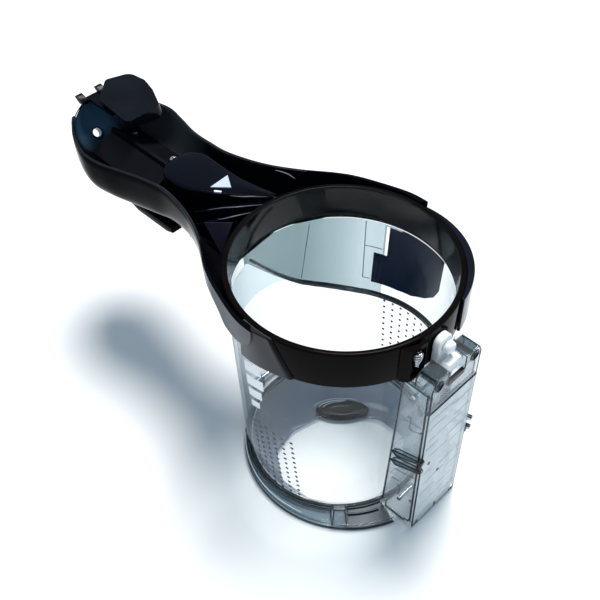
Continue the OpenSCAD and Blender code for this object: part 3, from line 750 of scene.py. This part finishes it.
def pad_shape():
    """The tongue between the arm's floor and the collar: round at one end, pointed at the collar."""
    near = [(TONGUE_ROUND_X, -15), (-112, -15.6), (-105, -14.6), (-98, -11.4), (-91, -7.8), (-82, -2.4),
            (-69, 5.6), (TONGUE_END, 11.0)]
    far = [(TONGUE_ROUND_X, 15), (-104.7, 13.6), (-88.5, 12.4), (-74.6, 13.8), (TONGUE_END, 15.5)]
    verts = []
    stations = [TONGUE_START + TONGUE_R * (1 - math.cos(math.pi / 2 * k / 20)) for k in range(21)]
    stations += [mix(TONGUE_ROUND_X, TONGUE_END, k / 40) for k in range(1, 41)]
    arc = [math.pi / 2 * k / 7 for k in range(8)]
    for x in stations:
        if x < TONGUE_ROUND_X:
            right = math.sqrt(max(0.16, TONGUE_R ** 2 - (x - TONGUE_ROUND_X) ** 2))
            left = -right
        else:
            left = table(near, x)
            right = table(far, x)
        along = (x - TONGUE_START) / (TONGUE_END - TONGUE_START)
        top = mix(139, TOP - 0.6, along)
        end = (x - TONGUE_START) / 5.0
        if end < 1:
            top -= 3.6 * (1 - math.sqrt(max(0.0, 1 - (1 - end) ** 2)))
        low = mix(116, 126, along)
        shoulder = top - TONGUE_EDGE
        edge = min(TONGUE_EDGE, (right - left) * 0.4)
        row = [(left, low), (left, mix(low, shoulder, 0.7))]
        row += [(left + edge * (1 - math.cos(a)), shoulder + 2.1 * math.sin(a)) for a in arc]
        for k in range(1, 8):
            row.append((mix(left + edge, right - edge, k / 8), top - 0.5 + 0.5 * (1 - (k / 4 - 1) ** 2)))
        row += [(right - edge * (1 - math.cos(a)), shoulder + 2.1 * math.sin(a)) for a in reversed(arc)]
        row += [(right, mix(low, shoulder, 0.7)), (right, low)]
        verts += [Vector((x, y, z)) for y, z in row]
    return verts, grid_faces(len(stations), len(verts) // len(stations))


def ledge_shape(outer, crest, drop, steps=30):
    """Sloping step beside the tongue; outer and crest give y and z along x."""
    verts = []
    for i in range(steps + 1):
        x = mix(-96, -61.9, i / steps)
        y0 = table(outer, x)
        z = table(crest, x)
        inner = y0 + 9
        row = [(y0 - 0.6, z - drop), (y0 - 0.25, z - 1.2), (y0, z - 0.35), (y0 + 0.3, z - 0.08),
               (y0 + 0.7, z), (y0 + 1.2, z - 0.1), (y0 + 3, z - 0.9), (inner, z - 1.6), (inner, z - drop)]
        verts += [hug(Vector((x, y, max(h, 115)))) for y, h in row]
    return verts, grid_faces(steps + 1, 9)


piece("arm_tongue", pad_shape(), pad_grey, stands_for=["arm_pad"], sharp=50)
shape = joined([
    ledge_shape([(-104, -19.5), (-91, -16.2), (-74, -6.5), (-62, 5.0)],
                [(-104, 126), (-91, 133), (-74, 140), (-62, 142.3)], 9),
    ledge_shape([(-104, -22.0), (-91, -21.5), (-73, -15.6), (-62, -3.4)],
                [(-104, 119), (-91, 127), (-73, 138), (-62, 142.0)], 9)])
piece("tongue_ledges", shape, pad_grey, sharp=50)
shape = prism_shape(fillet([(-90.6, -5.9), (-90.0, -6.9), (-86.6, -4.5), (-87.2, -3.5)], 0.3), 141.2,
                    142.25, along_z)
piece("arrow_bar", shape, print_white, bevel=0.1)


def ridge(points, radius, steps=24):
    """Tapered raised line through a few points of the arm."""
    path = smooth_path(points, steps)
    verts = []
    for i, p in enumerate(path):
        share = i / (len(path) - 1)
        ahead = (path[min(i + 1, len(path) - 1)] - path[max(i - 1, 0)]).normalized()
        side = ahead.cross(Vector((0, 0, 1))).normalized()
        up = side.cross(ahead)
        size = radius * (0.25 + 0.75 * math.sin(math.pi * min(0.97, max(0.03, share))))
        for k in range(10):
            angle = 2 * math.pi * k / 10
            verts.append(hug(p + side * (size * math.cos(angle)) + up * (size * math.sin(angle))))
    return verts, grid_faces(len(path), 10)


def smooth_path(points, steps):
    """Evenly spread points on a smooth curve through a few points."""
    points = [Vector(p) for p in points]
    path = []
    for i in range(steps + 1):
        t = i / steps * (len(points) - 1)
        n = min(int(t), len(points) - 2)
        u = t - n
        a = points[max(n - 1, 0)]
        b = points[n]
        d = points[n + 1]
        e = points[min(n + 2, len(points) - 1)]
        path.append(curve(a, b, d, e, u))
    return path


# Raised lines where highlight streaks cross the tongue; their grey is painted highlight.
shape = joined([
    ridge([(-82, -2.2, 141.0), (-76, 1.4, 141.6), (-71, 5.2, 142.4), (-61.2, 12.6, 143.2)], 0.42),
    ridge([(-88, -14.0, 134.5), (-80, -9.6, 138.0), (-74, -6.3, 140.1), (-61.9, 4.9, 142.4)], 0.42),
    ridge([(-76, -17.0, 137.0), (-73, -15.3, 138.1), (-67.6, -10.0, 140.4), (-62, -3.3, 142.1)], 0.35),
    ridge([(-78.5, 28.6, 142.8), (-75.6, 29.7, 143.0), (-69.7, 30.6, 143.6), (-64.2, 30.0, 144.0)], 0.45)])
piece("tongue_ridges", shape, ridge_glint_grey, sharp=60)

web = [Vector((-82.6, -21, 133.5)), Vector((-66.3, -14, 139)), Vector((-64.6, -25, 123))]
lift = (web[1] - web[0]).cross(web[2] - web[0]).normalized() * 1.2
shape = ([p + lift * 0.4 for p in web] + [p - lift for p in web],
         [(0, 1, 2), (3, 5, 4), (0, 3, 4, 1), (1, 4, 5, 2), (2, 5, 3, 0)])
piece("tongue_web", shape, web_grey, bevel=0.4, sharp=20)

keep("arrow_mark", print_pale, 0.08, 40)

# ---- drum ----

wall = fillet([(DRUM_BASE_R - WALL, DRUM_BASE), (DRUM_BASE_R, DRUM_BASE), (DRUM_TOP_R, DRUM_TOP),
               (DRUM_TOP_R - WALL, DRUM_TOP)], [0.4, 0.5, 0.2, 0.2], 4)
piece("drum_wall", lathe_shape(wall, 288), clear_drum, stands_for=["drum"], sharp=40)


def drum_radius(z):
    return mix(DRUM_BASE_R, DRUM_TOP_R, (z - DRUM_BASE) / (DRUM_TOP - DRUM_BASE))


knuckles = []
for side in (-1, 1):
    outline = fillet([(-62.3, 7.0), (-63.9, 4.4), (-60.8, 1.3), (-56, DRUM_BASE), (-54.9, DRUM_BASE),
                      (-55.6, 16)], [1.5, 2.0, 2.0, 0.3, 0, 0.4], 6)
    knuckles.append(prism_shape(outline, side * 11 - 3, side * 11 + 3, along_y))
piece("drum_knuckles", joined(knuckles), clear_smoky, stands_for=["drum"], bevel=0.35,
      sharp=40)
keep("hinge_pin", steel, 0.2, 40)
keep("collar_gasket", rubber, 0.15, 40)
keep("inlet_ramp", rib_dark, 0.35, 35, 3)

PRINT = 0.08
PRINT_GAP = 0.05


def on_drum(azimuth, z, depth):
    """Point so far outside the drum's wall."""
    return polar(drum_radius(z) + depth, azimuth, z)


def wrap_strip(left, right, z_low, z_high, gap=PRINT_GAP, rows=2, columns=4):
    """Thin closed sheet on the drum's outside; left and right give azimuths at a height."""
    def point(layer, v, u):
        z = mix(z_low, z_high, v)
        return on_drum(mix(left(z), right(z), u), z, gap + PRINT * layer)
    return sheet_shape(rows, columns, point)


def slanted(azimuth, width, lean, z_low, z_high, **more):
    """Strip whose left edge starts at an azimuth and leans by so many degrees a millimetre."""
    return wrap_strip(lambda z: azimuth + lean * (z - z_low), lambda z: azimuth + width + lean * (z - z_low),
                      z_low, z_high, **more)


def dot(azimuth, z, radius, count=14):
    """Round printed dot on the drum's outside."""
    verts = []
    for layer in (0, 1):
        for k in range(count):
            a = 2 * math.pi * k / count
            turned = azimuth + math.degrees(radius * math.cos(a) / drum_radius(z))
            verts.append(on_drum(turned, z + radius * math.sin(a), PRINT_GAP + PRINT * layer))
    return verts, prism_faces(count)


def leaning(corners):
    """Printed four-sided mark; corners are (azimuth, z): low left, high left, high right, low right."""
    low_left, high_left, high_right, low_right = corners

    def point(layer, v, u):
        azimuth, z = (mix(mix(low_left[i], high_left[i], v), mix(low_right[i], high_right[i], v), u)
                      for i in (0, 1))
        return on_drum(azimuth, z, PRINT_GAP + PRINT * layer)
    return sheet_shape(3, 8, point)


# near side: a ladder of slanted white bars, and a field of dots below it
bars = [leaning([(-103.5, 99.5), (-103.5, 107), (-90, 113), (-90, 105.5)]),
        leaning([(-103, 88.5), (-103, 96), (-89, 102), (-89, 94.5)]),
        leaning([(-102.5, 79), (-102.5, 85.5), (-91, 91), (-91, 84.5)]),
        leaning([(-101, 71), (-101, 76), (-93.5, 80), (-93.5, 75)])]
piece("printed_bars", joined(bars), print_white, sharp=40)



def dot_field(azimuth, column_step, lean, z, rows, row_step, radius):
    """Six columns of dots; the rows go down, and lean by so many degrees a millimetre."""
    return joined([dot(azimuth + column_step * column + lean * row_step * row, z - row_step * row, radius)
                   for column in range(6) for row in range(rows)])


piece("printed_dots_near", dot_field(-101.8, 5.65, 0.066, 60.6, 12, 4.62, 0.98), print_grey,
      sharp=40)
piece("printed_dots_far", dot_field(105.2, -5.65, -0.05, 63.4, 10, 4.75, 0.84), print_grey,
      sharp=40)

RAMP = [(64, 77), (75, 75), (88, 73.2), (105, 71.4), (122, 70.8), (131, 71.6), (140, 73.6), (149, 76.6),
        (158, 80.8), (166, 87), (173, 94), (182, 104.4), (188, 112), (194, 119.5)]
lines = [slanted(119.6, 0.5, 0.0, 77.5, 120.5, rows=10, columns=1),
         slanted(108.6, 11.4, 0, 102.3, 102.8, rows=1, columns=8),
         slanted(115.6, 4.4, 0, 77.5, 78.0, rows=1, columns=4),
         slanted(156.1, 0.35, -0.137, 79, 119, rows=12, columns=1)]
piece("printed_lines", joined(lines), print_line, sharp=40)


def shade_sheet_shape(start, end, low, high):
    """Thin tinted sheet on the drum that greys the wall seen through it: painted shade. Low and high give its
    edges' heights at an azimuth.
    """
    def point(layer, v, u):
        azimuth = mix(start, end, u)
        return on_drum(azimuth, mix(low(azimuth), high(azimuth), v), 0.15 if layer else PRINT_GAP)
    return sheet_shape(10, 60, point)


# Painted shade on the far wall, and a paler band of it below.
piece("far_wall_painted_shade", shade_sheet_shape(108.0, 196.0, lambda a: min(table(RAMP, a) - 5.0, 119.0), lambda a: 121.4),
      far_wall_painted_shade, sharp=50)
LOW_EDGE = [(158, 77.6), (167, 82.4), (174, 84.2), (184, 85.5), (202, 86), (214, 90)]
shape = shade_sheet_shape(158.5, 214.0, lambda a: table(LOW_EDGE, a),
                   lambda a: min(max(table(RAMP, min(a, 194)) - 5.1, table(LOW_EDGE, a) + 0.2), 121.4))
piece("far_wall_painted_shade_low", shape, far_wall_painted_shade_low, sharp=50)

keep("label_panel", navy, 0.0)
shape = joined([slanted(108.2, 0.9, 0, 99, 121, rows=6, columns=1, gap=0.02),
                slanted(99, 9.2, 0, 120.0, 121.2, rows=2, columns=6, gap=0.02)])
piece("label_edge", shape, print_white, sharp=40)

# ---- lid ----

keep("lid", clear_lid, 0.4, 35, 2, edge_dark)
keep("lid_seal", rubber, 0.2, 40)

LID_FLOOR = 2.25
LID_X = 8.0
LID_R = 62.0
FOOT_R = 55.9
LIT_PATCH = [(44, 9), (33, 24), (13, 23), (-13, 1), (-18, -20), (-14, -38), (2, -49), (24, -47), (44, -31),
        (49, -19)]


def along_outline(outline, count):
    """Points spread evenly along a closed outline."""
    total = []
    for i, p in enumerate(outline):
        q = outline[(i + 1) % len(outline)]
        total.append(math.hypot(q[0] - p[0], q[1] - p[1]))
    length = sum(total)
    spread = []
    i = 0
    passed = 0
    for k in range(count):
        here = length * k / count
        while passed + total[i] < here:
            passed += total[i]
            i += 1
        p = outline[i]
        q = outline[(i + 1) % len(outline)]
        u = (here - passed) / total[i]
        spread.append((mix(p[0], q[0], u), mix(p[1], q[1], u)))
    return spread


def step_shape():
    """Raised step of the lid's floor round the lit patch; its grey tint, lighter toward +x, is painted shade.
    """
    count = 160
    lit_patch = along_outline(fillet(LIT_PATCH, 7, 8), count)
    middle_x = sum(p[0] for p in lit_patch) / count
    middle_y = sum(p[1] for p in lit_patch) / count
    verts = []
    for x, y in lit_patch:
        angle = math.atan2(y - middle_y, x - middle_x)
        reach = far_reach(middle_x, middle_y, angle, 51.6)
        far_x = middle_x + reach * math.cos(angle)
        far_y = middle_y + reach * math.sin(angle)
        rows = [(0.0, LID_FLOOR), (0.0, LID_FLOOR + 0.5), (0.03, LID_FLOOR + 0.8), (0.5, LID_FLOOR + 0.9),
                (1.0, LID_FLOOR + 0.9), (1.0, LID_FLOOR)]
        verts += [Vector((mix(x, far_x, share), mix(y, far_y, share), z)) for share, z in rows]
    return verts, loop_faces(count, 6)


def far_reach(x, y, angle, radius):
    """Distance from a point to the circle round the axis along an angle."""
    b = x * math.cos(angle) + y * math.sin(angle)
    return -b + math.sqrt(b * b - (x * x + y * y - radius * radius))


piece("lid_step", step_shape(), lid_step_painted_shade, "lid", sharp=40)


def hub_point(share, angle, height):
    """Point of the oval dish beside the lit patch; it lies at forty-five degrees."""
    along = 16.3 * share * math.cos(angle)
    across = 7.6 * share * math.sin(angle)
    turn = math.sqrt(0.5)
    return Vector((-7.4 + turn * (along - across), 12.2 + turn * (along + across), LID_FLOOR + height))


rings = [(1.0, 0.3), (1.0, 1.1), (0.95, 1.5), (0.88, 1.3), (0.84, 1.7), (0.78, 1.4), (0.73, 1.8), (0.66, 1.5),
         (0.6, 1.9), (0.4, 1.6), (0.2, 1.5), (0.01, 1.5)]
ROUND = 96
verts = [hub_point(share, 2 * math.pi * k / ROUND, height) for share, height in rings for k in range(ROUND)]
faces = [(i + k, i + (k + 1) % ROUND, i + ROUND + (k + 1) % ROUND, i + ROUND + k)
         for i in range(0, ROUND * (len(rings) - 1), ROUND) for k in range(ROUND)]
piece("lid_hub", (verts, faces), hub_grey, "lid", sharp=60)
# Pale arcs on the dish where its highlight falls: painted highlight.
arcs = []
for share, start, end, radius in ((1.12, 60, 165, 0.16), (0.92, 80, 165, 0.30), (0.76, 85, 165, 0.24),
                                  (0.6, 100, 150, 0.18)):
    path = [hub_point(share, math.radians(mix(start, end, k / 30)), 1.6) for k in range(31)]
    arcs.append(tube_shape(path, radius, 8))
piece("lid_hub_ribs", joined(arcs), pale_glint, "lid", sharp=60)


def flange_point(azimuth, share, z):
    """Point of the lid's flange between the drum's foot and the lid's own edge."""
    b = LID_X * math.cos(math.radians(azimuth))
    out = b + math.sqrt(b * b + (LID_R - 0.4) ** 2 - LID_X ** 2)
    return polar(mix(FOOT_R, out, share), azimuth, z)


def flange_sheet(start, end, columns, low, high):
    """Sheet inside the flange between two azimuths."""
    return sheet_shape(4, columns,
                       lambda layer, v, u: flange_point(mix(start, end, u), v, high if layer else low))


piece("lid_flange_tint", flange_sheet(-20, -152, 90, 0.5, 1.7), clear_flange, "lid", sharp=60)
piece("lid_flange_far", flange_sheet(20, 152, 90, 0.5, 1.7), clear_rim, "lid", sharp=60)
LUG_TURN = {side: Matrix.Rotation(math.radians(side * 46), 3, "Z") for side in (-1, 1)}
LUG_CORNERS = [(57.3, 5.0, 2.7), (66.5, 4.2, 2.7), (66.5, 4.0, 3.3), (60.4, 3.0, 9.6), (57.3, 3.3, 9.6)]


def lug_side(side, hand):
    """Corners of one face of the tent over a lug: wide at the flange, narrow at its flat top."""
    return [LUG_TURN[side] @ Vector((x, hand * half, z)) for x, half, z in LUG_CORNERS]


def lug_shape(side):
    """The whole tent over the lug on one side."""
    sides = [(k, (k + 1) % 5, 5 + (k + 1) % 5, 5 + k) for k in range(5)]
    return lug_side(side, -1) + lug_side(side, 1), [(4, 3, 2, 1, 0), (5, 6, 7, 8, 9)] + sides


def flange_line(start, end, share, z, radius, steps=90):
    """Round line along the flange between two azimuths."""
    path = [flange_point(mix(start, end, k / steps), share, z) for k in range(steps + 1)]
    return tube_shape(path, radius, 8)


piece("lid_lug_tint", joined([lug_shape(side) for side in (-1, 1)]), clear_lug, "lid", bevel=0.4,
      sharp=20)
# Opaque teal sheet in the lid's flange beside the channel, where shadow falls: painted shade.
piece("lid_tail_painted_shade", flange_sheet(-20.6, -43.0, 24, 1.9, 2.4), tail_painted_shade, "lid", sharp=60)
lines = [flange_line(-24, -42, 0.30, 3.0, 0.75, 20)]
for side in (-1, 1):
    lines.append(flange_line(side * 19.5, side * 150, 1.0, 0.55, 0.5))
    lines.append(flange_line(side * 19.5, side * 140, 0.985, 4.2, 0.22))
    foot = [polar(55.6, side * mix(21, 165, k / 120), 3.0) for k in range(121)]
    lines.append(tube_shape(foot, 0.55, 8))
    near, far = lug_side(side, -1), lug_side(side, 1)
    lines += [tube_shape(corners + corners[:1], 0.3, 8) for corners in (near, far)]
    lines += [tube_shape([near[4], far[4]], 0.35, 8), tube_shape([near[3], far[3]], 0.3, 8)]
piece("lid_edges", joined(lines), edge_dark, "lid", sharp=60)
# Pale line along the flange where a bright streak runs: painted highlight.
piece("lid_flange_glint", flange_line(-66, -132, 0.80, 4.5, 0.34, 60), pale_glint, "lid", sharp=60)

# ---- latch channel ----

housing = keep("channel_housing", clear_channel, 0.4, 35, 2, edge_dark)
zone(housing, clear_smoky, lambda c, n: abs(c.y) > CHANNEL_HALF + 0.05)
keep("cover_lower", clear_front, 0.4, 35, 2, edge_dark)
keep("cover_upper", clear_ear, 0.5, 35, 2, edge_dark)


def line(radius, *points):
    """Straight-sided dark edge line through a few points."""
    return tube_shape([Vector(p) for p in points], radius, 8)


def wall_foot(z):
    """x where the channel's side wall meets the drum."""
    return math.sqrt((drum_radius(z) + 0.7) ** 2 - 18.5 ** 2)


EAR = CHANNEL_HALF - 0.3
EAR_IN = 6.7
EAR_OUT = 16.4
EAR_BACK = 64.4
EAR_TOP = 127.5
FRONT = FRONT_X - 0.2
PLATE_TOP = 118.4
LEDGES = (52, 60)
edges = []
for side in (-1, 1):
    thick = 1.0 if side < 0 else 0.5
    y = side * EAR
    edges.append(line(0.5 * thick, (FRONT, y, 0.5), (FRONT, y, PLATE_TOP)))
    edges.append(line(0.5 * thick, (FRONT_X - 2.3, y, 4.2), (FRONT_X - 2.3, y, PLATE_TOP)))
    edges.append(tube_shape([Vector((wall_foot(z), y, z)) for z in range(6, 117, 5)], 0.5 * thick, 8))
    edges.append(line(0.4, (wall_foot(112) + 1.2, y, 117.6), (FRONT_X - 1, y, 117.6)))
    for z in LEDGES:
        out_y = side * (CHANNEL_HALF + 2.1)
        in_y = side * 19.0
        edges.append(line(0.42, (56.6, out_y, z), (60, out_y, z - 1.9), (76.0, out_y, z + 6.2)))
        edges.append(line(0.42, (56.6, out_y, z), (60, out_y, z + 1.9), (76.0, out_y, z + 7.9)))
        edges.append(line(0.3, (57.2, in_y, z), (60, in_y, z + 2.2), (76.0, in_y, z + 8.2)))
    y0 = side * EAR_IN
    y1 = side * EAR_OUT
    edges.append(line(0.3, *[(x, at, EAR_TOP) for x, at in (
        (EAR_BACK, y0), (EAR_BACK, y1), (FRONT, y1), (FRONT, y0), (EAR_BACK, y0))]))
    edges.append(line(0.35, (FRONT, y0, 119), (FRONT, y0, EAR_TOP)))
    for x in (EAR_BACK, FRONT):
        edges.append(line(0.35, (x, y, 119), (x, y, 123), (x, y1, EAR_TOP)))
    recess = [Vector((FRONT_X - 0.1, side * 13.6 + 3.1 * math.cos(0.2618 * k),
                      123 + 3.1 * math.sin(0.2618 * k))) for k in range(25)]
    edges.append(tube_shape(recess, 0.4, 8))
edges.append(line(0.6, (FRONT, -EAR, 104.9), (FRONT, EAR, 104.9)))
edges.append(line(0.3, (FRONT, -EAR, 0.6), (FRONT, EAR, 0.6)))
edges.append(line(0.45, (FRONT, -EAR, 7.5), (FRONT, -EAR, 4.6), (71.6, -EAR, 4.6), (71.6, -EAR, 2.6),
                  (68.8, -EAR, 2.6), (68.8, -EAR, 0.6), (55.2, -EAR, 0.6), (55.2, -EAR, 5)))
piece("channel_edges", joined(edges), edge_dark, sharp=60)

# dark inserts: the slot under the bar, the clips on the front plate and beside the ledges, the wires
WIRE_Y = -16
inserts = [prism_shape(fillet(rectangle(-6.2, 6.2, 116.6, 119.8), 0.5), 73.1, 74.9, along_x)]
for y, z, tall in ((-12.0, 57.0, 1.6), (19.0, 57.5, 5.0), (0.6, 2.6, 3.2), (-2.4, 41.0, 1.2)):
    outline = fillet([(y - 0.8, z - tall / 2), (y + 0.6, z - tall / 2 - 0.3), (y + 1.0, z + tall / 2),
                      (y - 0.5, z + tall / 2 + 0.3)], 0.3)
    inserts.append(prism_shape(outline, FRONT_X - 0.6, FRONT_X + 0.25, along_x))
outline = fillet([(73.6, 57.5), (75.0, 56.8), (76.3, 68.0), (75.2, 69.6), (74.2, 63.0)], 0.4)
inserts.append(prism_shape(outline, -20.8, -19.0, along_y))
for points, radius in (([(60.8, 89.2), (62.8, 88.6), (62.7, 84.2), (62.4, 81.6), (64.4, 79.9)], 0.42),
                       ([(59.4, 24.7), (61.0, 23.4), (61.6, 19.7), (60.7, 16.1)], 0.42),
                       ([(57.8, 84.0), (63.0, 85.6), (69.8, 86.6)], 0.22),
                       ([(64.4, 79.9), (69.6, 82.4)], 0.22),
                       ([(56.2, 37.0), (63.0, 39.4), (70.0, 41.8)], 0.25),
                       ([(55.6, 28.0), (66.3, 30.6)], 0.22)):
    inserts.append(tube_shape(smooth_path([(x, WIRE_Y, z) for x, z in points], 20), radius, 8))
for x, z in ((70.0, 82.8), (69.4, 18.5)):
    verts, faces = lathe_shape(fillet([(0.01, -0.7), (0.8, -0.5), (0.8, 0.5), (0.01, 0.7)], 0.2), 24)
    inserts.append(([Vector((x + v.x, WIRE_Y + v.z, z + v.y)) for v in verts], faces))
piece("channel_inserts", joined(inserts), screw_black, sharp=45)

RIB_X = FRONT_X - 0.05
ribs = []
for y0, y1, z in ((-17, 4, 98), (2, 17.5, 95), (-17, -3, 90.5), (4, 17, 84), (-16, 9, 80), (-17, -6, 73.5),
                  (0, 17.5, 70), (-12, 2, 64), (5, 17.5, 61), (-17, -9, 50), (-2, 17, 47), (-16, 3, 40),
                  (6, 17.5, 36), (-17, -4, 31), (-1, 12, 25), (-16, 6, 18), (3, 17, 12), (-15, -2, 8)):
    ribs.append(line(0.13, (RIB_X, y0, z), (RIB_X, y1, z)))
    if y1 - y0 > 14:
        ribs.append(line(0.1, (RIB_X, y1 - 3, z), (RIB_X, y1 - 3, z - 5)))
piece("cover_ribs", joined(ribs), print_line, sharp=60)

tints = []
for side in (-1, 1):
    outline = fillet([(64.8, side * 7.2), (64.8, side * 16), (74.0, side * 16), (74.0, side * 7.2)], 0.8)
    tints.append(prism_shape(outline, 127.3, 127.75, along_z))
piece("ear_tint", joined(tints), clear_deep, sharp=60)
keep("cover_screws", screw_black, 0.15, 40)
keep("spring_seat", milky, 0.2, 40)
keep("catch_pin", steel, 0.2, 40)
keep("post_pin", steel, 0.2, 40)
keep("release_bar", white, 0.9, 30, 4)
keep("push_rod", milky, 0.3, 40)
keep("lid_catch", white, 0.3, 30)


POST_PLATE = 4.2
PIN_Z = 110
NUB_Z = 134.2


def post_shape():
    """Upright plate with a round top, its pin barrel, and the nub that stands out of its front."""
    half = (post_high.y - post_low.y) / 2
    x0 = post_low.x
    x1 = x0 + POST_PLATE
    top = post_high.z
    outline = fillet([(-half, 108.5), (half, 108.5), (half, top), (-half, top)], [1, 1, 4.2, 4.2], 8)
    plate = prism_shape(outline, x0, x1, along_x)
    barrel = fillet([(0.01, -half), (2.6, -half), (2.6, half), (0.01, half)], [0, 0.4, 0.4, 0], 3)
    verts, faces = lathe_shape(barrel, 32)
    hub = [Vector((x0 + POST_PLATE / 2 + v.x, v.z, PIN_Z + v.y)) for v in verts], faces
    nub = fillet([(0.01, 0), (3.4, 0), (3.4, post_high.x - x1), (0.01, post_high.x - x1)], [0, 0, 1.9, 0], 8)
    verts, faces = lathe_shape(nub, 40)
    knob = [Vector((x1 + v.z, 0.6 + v.x, NUB_Z + v.y)) for v in verts], faces
    return joined((plate, hub, knob))


piece("post_latch", post_shape(), white, "latch_post", bevel=0.7, sharp=50,
      stands_for=["latch_post"])


# ---- springs ----

def spring(name, node, centre, coil_r, wire_r, turns):
    """Round-wire coil with closed end turns."""
    low, high = box(node)
    z0 = low.z + wire_r
    z1 = high.z - wire_r
    steps = turns * 40
    path = []
    for i in range(steps + 1):
        a = 2 * math.pi * turns * i / steps
        lift = ease((i / steps - 0.04) / 0.92) * 0.35 + min(1, max(0, (i / steps - 0.06) / 0.88)) * 0.65
        path.append(Vector((centre[0] + coil_r * math.cos(a), centre[1] + coil_r * math.sin(a),
                            mix(z0, z1, lift))))
    coil = piece(name, tube_shape(path, wire_r), steel, sharp=60, stands_for=[node])
    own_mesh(coil)


coil_path = []
for i in range(6 * 36 + 1):
    turn = 2 * math.pi * i / 36
    share = i / (6 * 36)
    reach = mix(0.8, 2.25, ease(share / 0.75))
    coil_path.append(Vector((61.4 + reach * math.cos(turn), -15.6 + reach * math.sin(turn),
                             mix(128.6, 139.3, share))))
piece("contact_coil", tube_shape(coil_path, 0.5, 10), steel, sharp=60,
      stands_for=["contact_spring"])
spring("release_coil", "release_spring", (70, 0), 2.15, 0.25, 10)
spring("button_coil", "button_spring", (-144, 0), 4.0, 0.5, 5)

# ---- floor, light, camera ----

floor_made, tree, place = new_material("pale_floor")
tone = ramp(tree, noise(tree, place, 3, 2.0), [(0.3, (0.80, 0.81, 0.82)), (0.7, (0.83, 0.83, 0.83))])
show(tree, add_node(tree, "BsdfPrincipled", {"Base Color": tone, "Roughness": 0.7,
                                             "Specular IOR Level": 0.2}).outputs["BSDF"])
floor_mesh = bpy.data.meshes.new("floor")
floor_mesh.from_pydata([(-3, -3, 0), (3, -3, 0), (3, 3, 0), (-3, 3, 0)], [], [(0, 1, 2, 3)])
floor_mesh.materials.append(floor_made)
floor = add_object("floor", floor_mesh)
floor.location.z = cad_low.z - 0.0002

world = bpy.data.worlds.new("studio")
world.use_nodes = True
world.node_tree.nodes["Background"].inputs["Color"].default_value = (0.62, 0.82, 1.0, 1)
world.node_tree.nodes["Background"].inputs["Strength"].default_value = 0.43
bpy.context.scene.world = world


def aim(obj, position, target):
    obj.location = position
    obj.rotation_mode = "QUATERNION"
    obj.rotation_quaternion = (Vector(target) - Vector(position)).to_track_quat("-Z", "Y")


sun_data = bpy.data.lights.new("key", "SUN")
sun_data.energy = 4.1
sun_data.angle = math.radians(22)
sun_data.color = (1.0, 0.97, 0.93)
aim(add_object("key", sun_data), (-0.17, 0.35, 1.0), (0, 0, 0))

middle = (cad_low + cad_high) / 2


LIGHT_DISTANCE = 0.9


def softbox(name, direction, size, power, colour):
    """Rectangular light that faces the middle of the part."""
    data = bpy.data.lights.new(name, "AREA")
    data.shape = "RECTANGLE"
    data.size = size[0]
    data.size_y = size[1]
    data.energy = power
    data.color = colour
    aim(add_object(name, data), middle + Vector(direction).normalized() * LIGHT_DISTANCE, middle)


softbox("edge_strip", (-0.1, -0.46, 0.87), (0.35, 0.05), 0.6, (1.0, 1.0, 1.0))
softbox("blue_side", (0.80, 0.49, 0.33), (0.5, 0.4), 0.7, (0.35, 0.75, 1.0))

CAMERA_AZIMUTH = math.radians(45.12)
CAMERA_ELEVATION = math.radians(46.51)
CAMERA_DISTANCE = 0.50883
CAMERA_ROLL = math.radians(-0.65)
target = middle + Vector((0.04083, 0.0, 0.02142))
level = math.cos(CAMERA_ELEVATION)
back = Vector((math.sin(CAMERA_AZIMUTH) * level, -math.cos(CAMERA_AZIMUTH) * level,
               math.sin(CAMERA_ELEVATION)))
camera_data = bpy.data.cameras.new("camera")
camera_data.lens = 54.92
camera_data.sensor_width = 36
camera = add_object("camera", camera_data)
camera.rotation_mode = "QUATERNION"
camera.location = target + back * CAMERA_DISTANCE
look = (-back).to_track_quat("-Z", "Y")
roll = Matrix.Rotation(CAMERA_ROLL, 3, back)
camera.rotation_quaternion = (roll @ look.to_matrix()).to_quaternion()
bpy.context.scene.camera = camera
bpy.context.scene.view_settings.view_transform = "Standard"
bpy.context.scene.cycles.transparent_max_bounces = 32
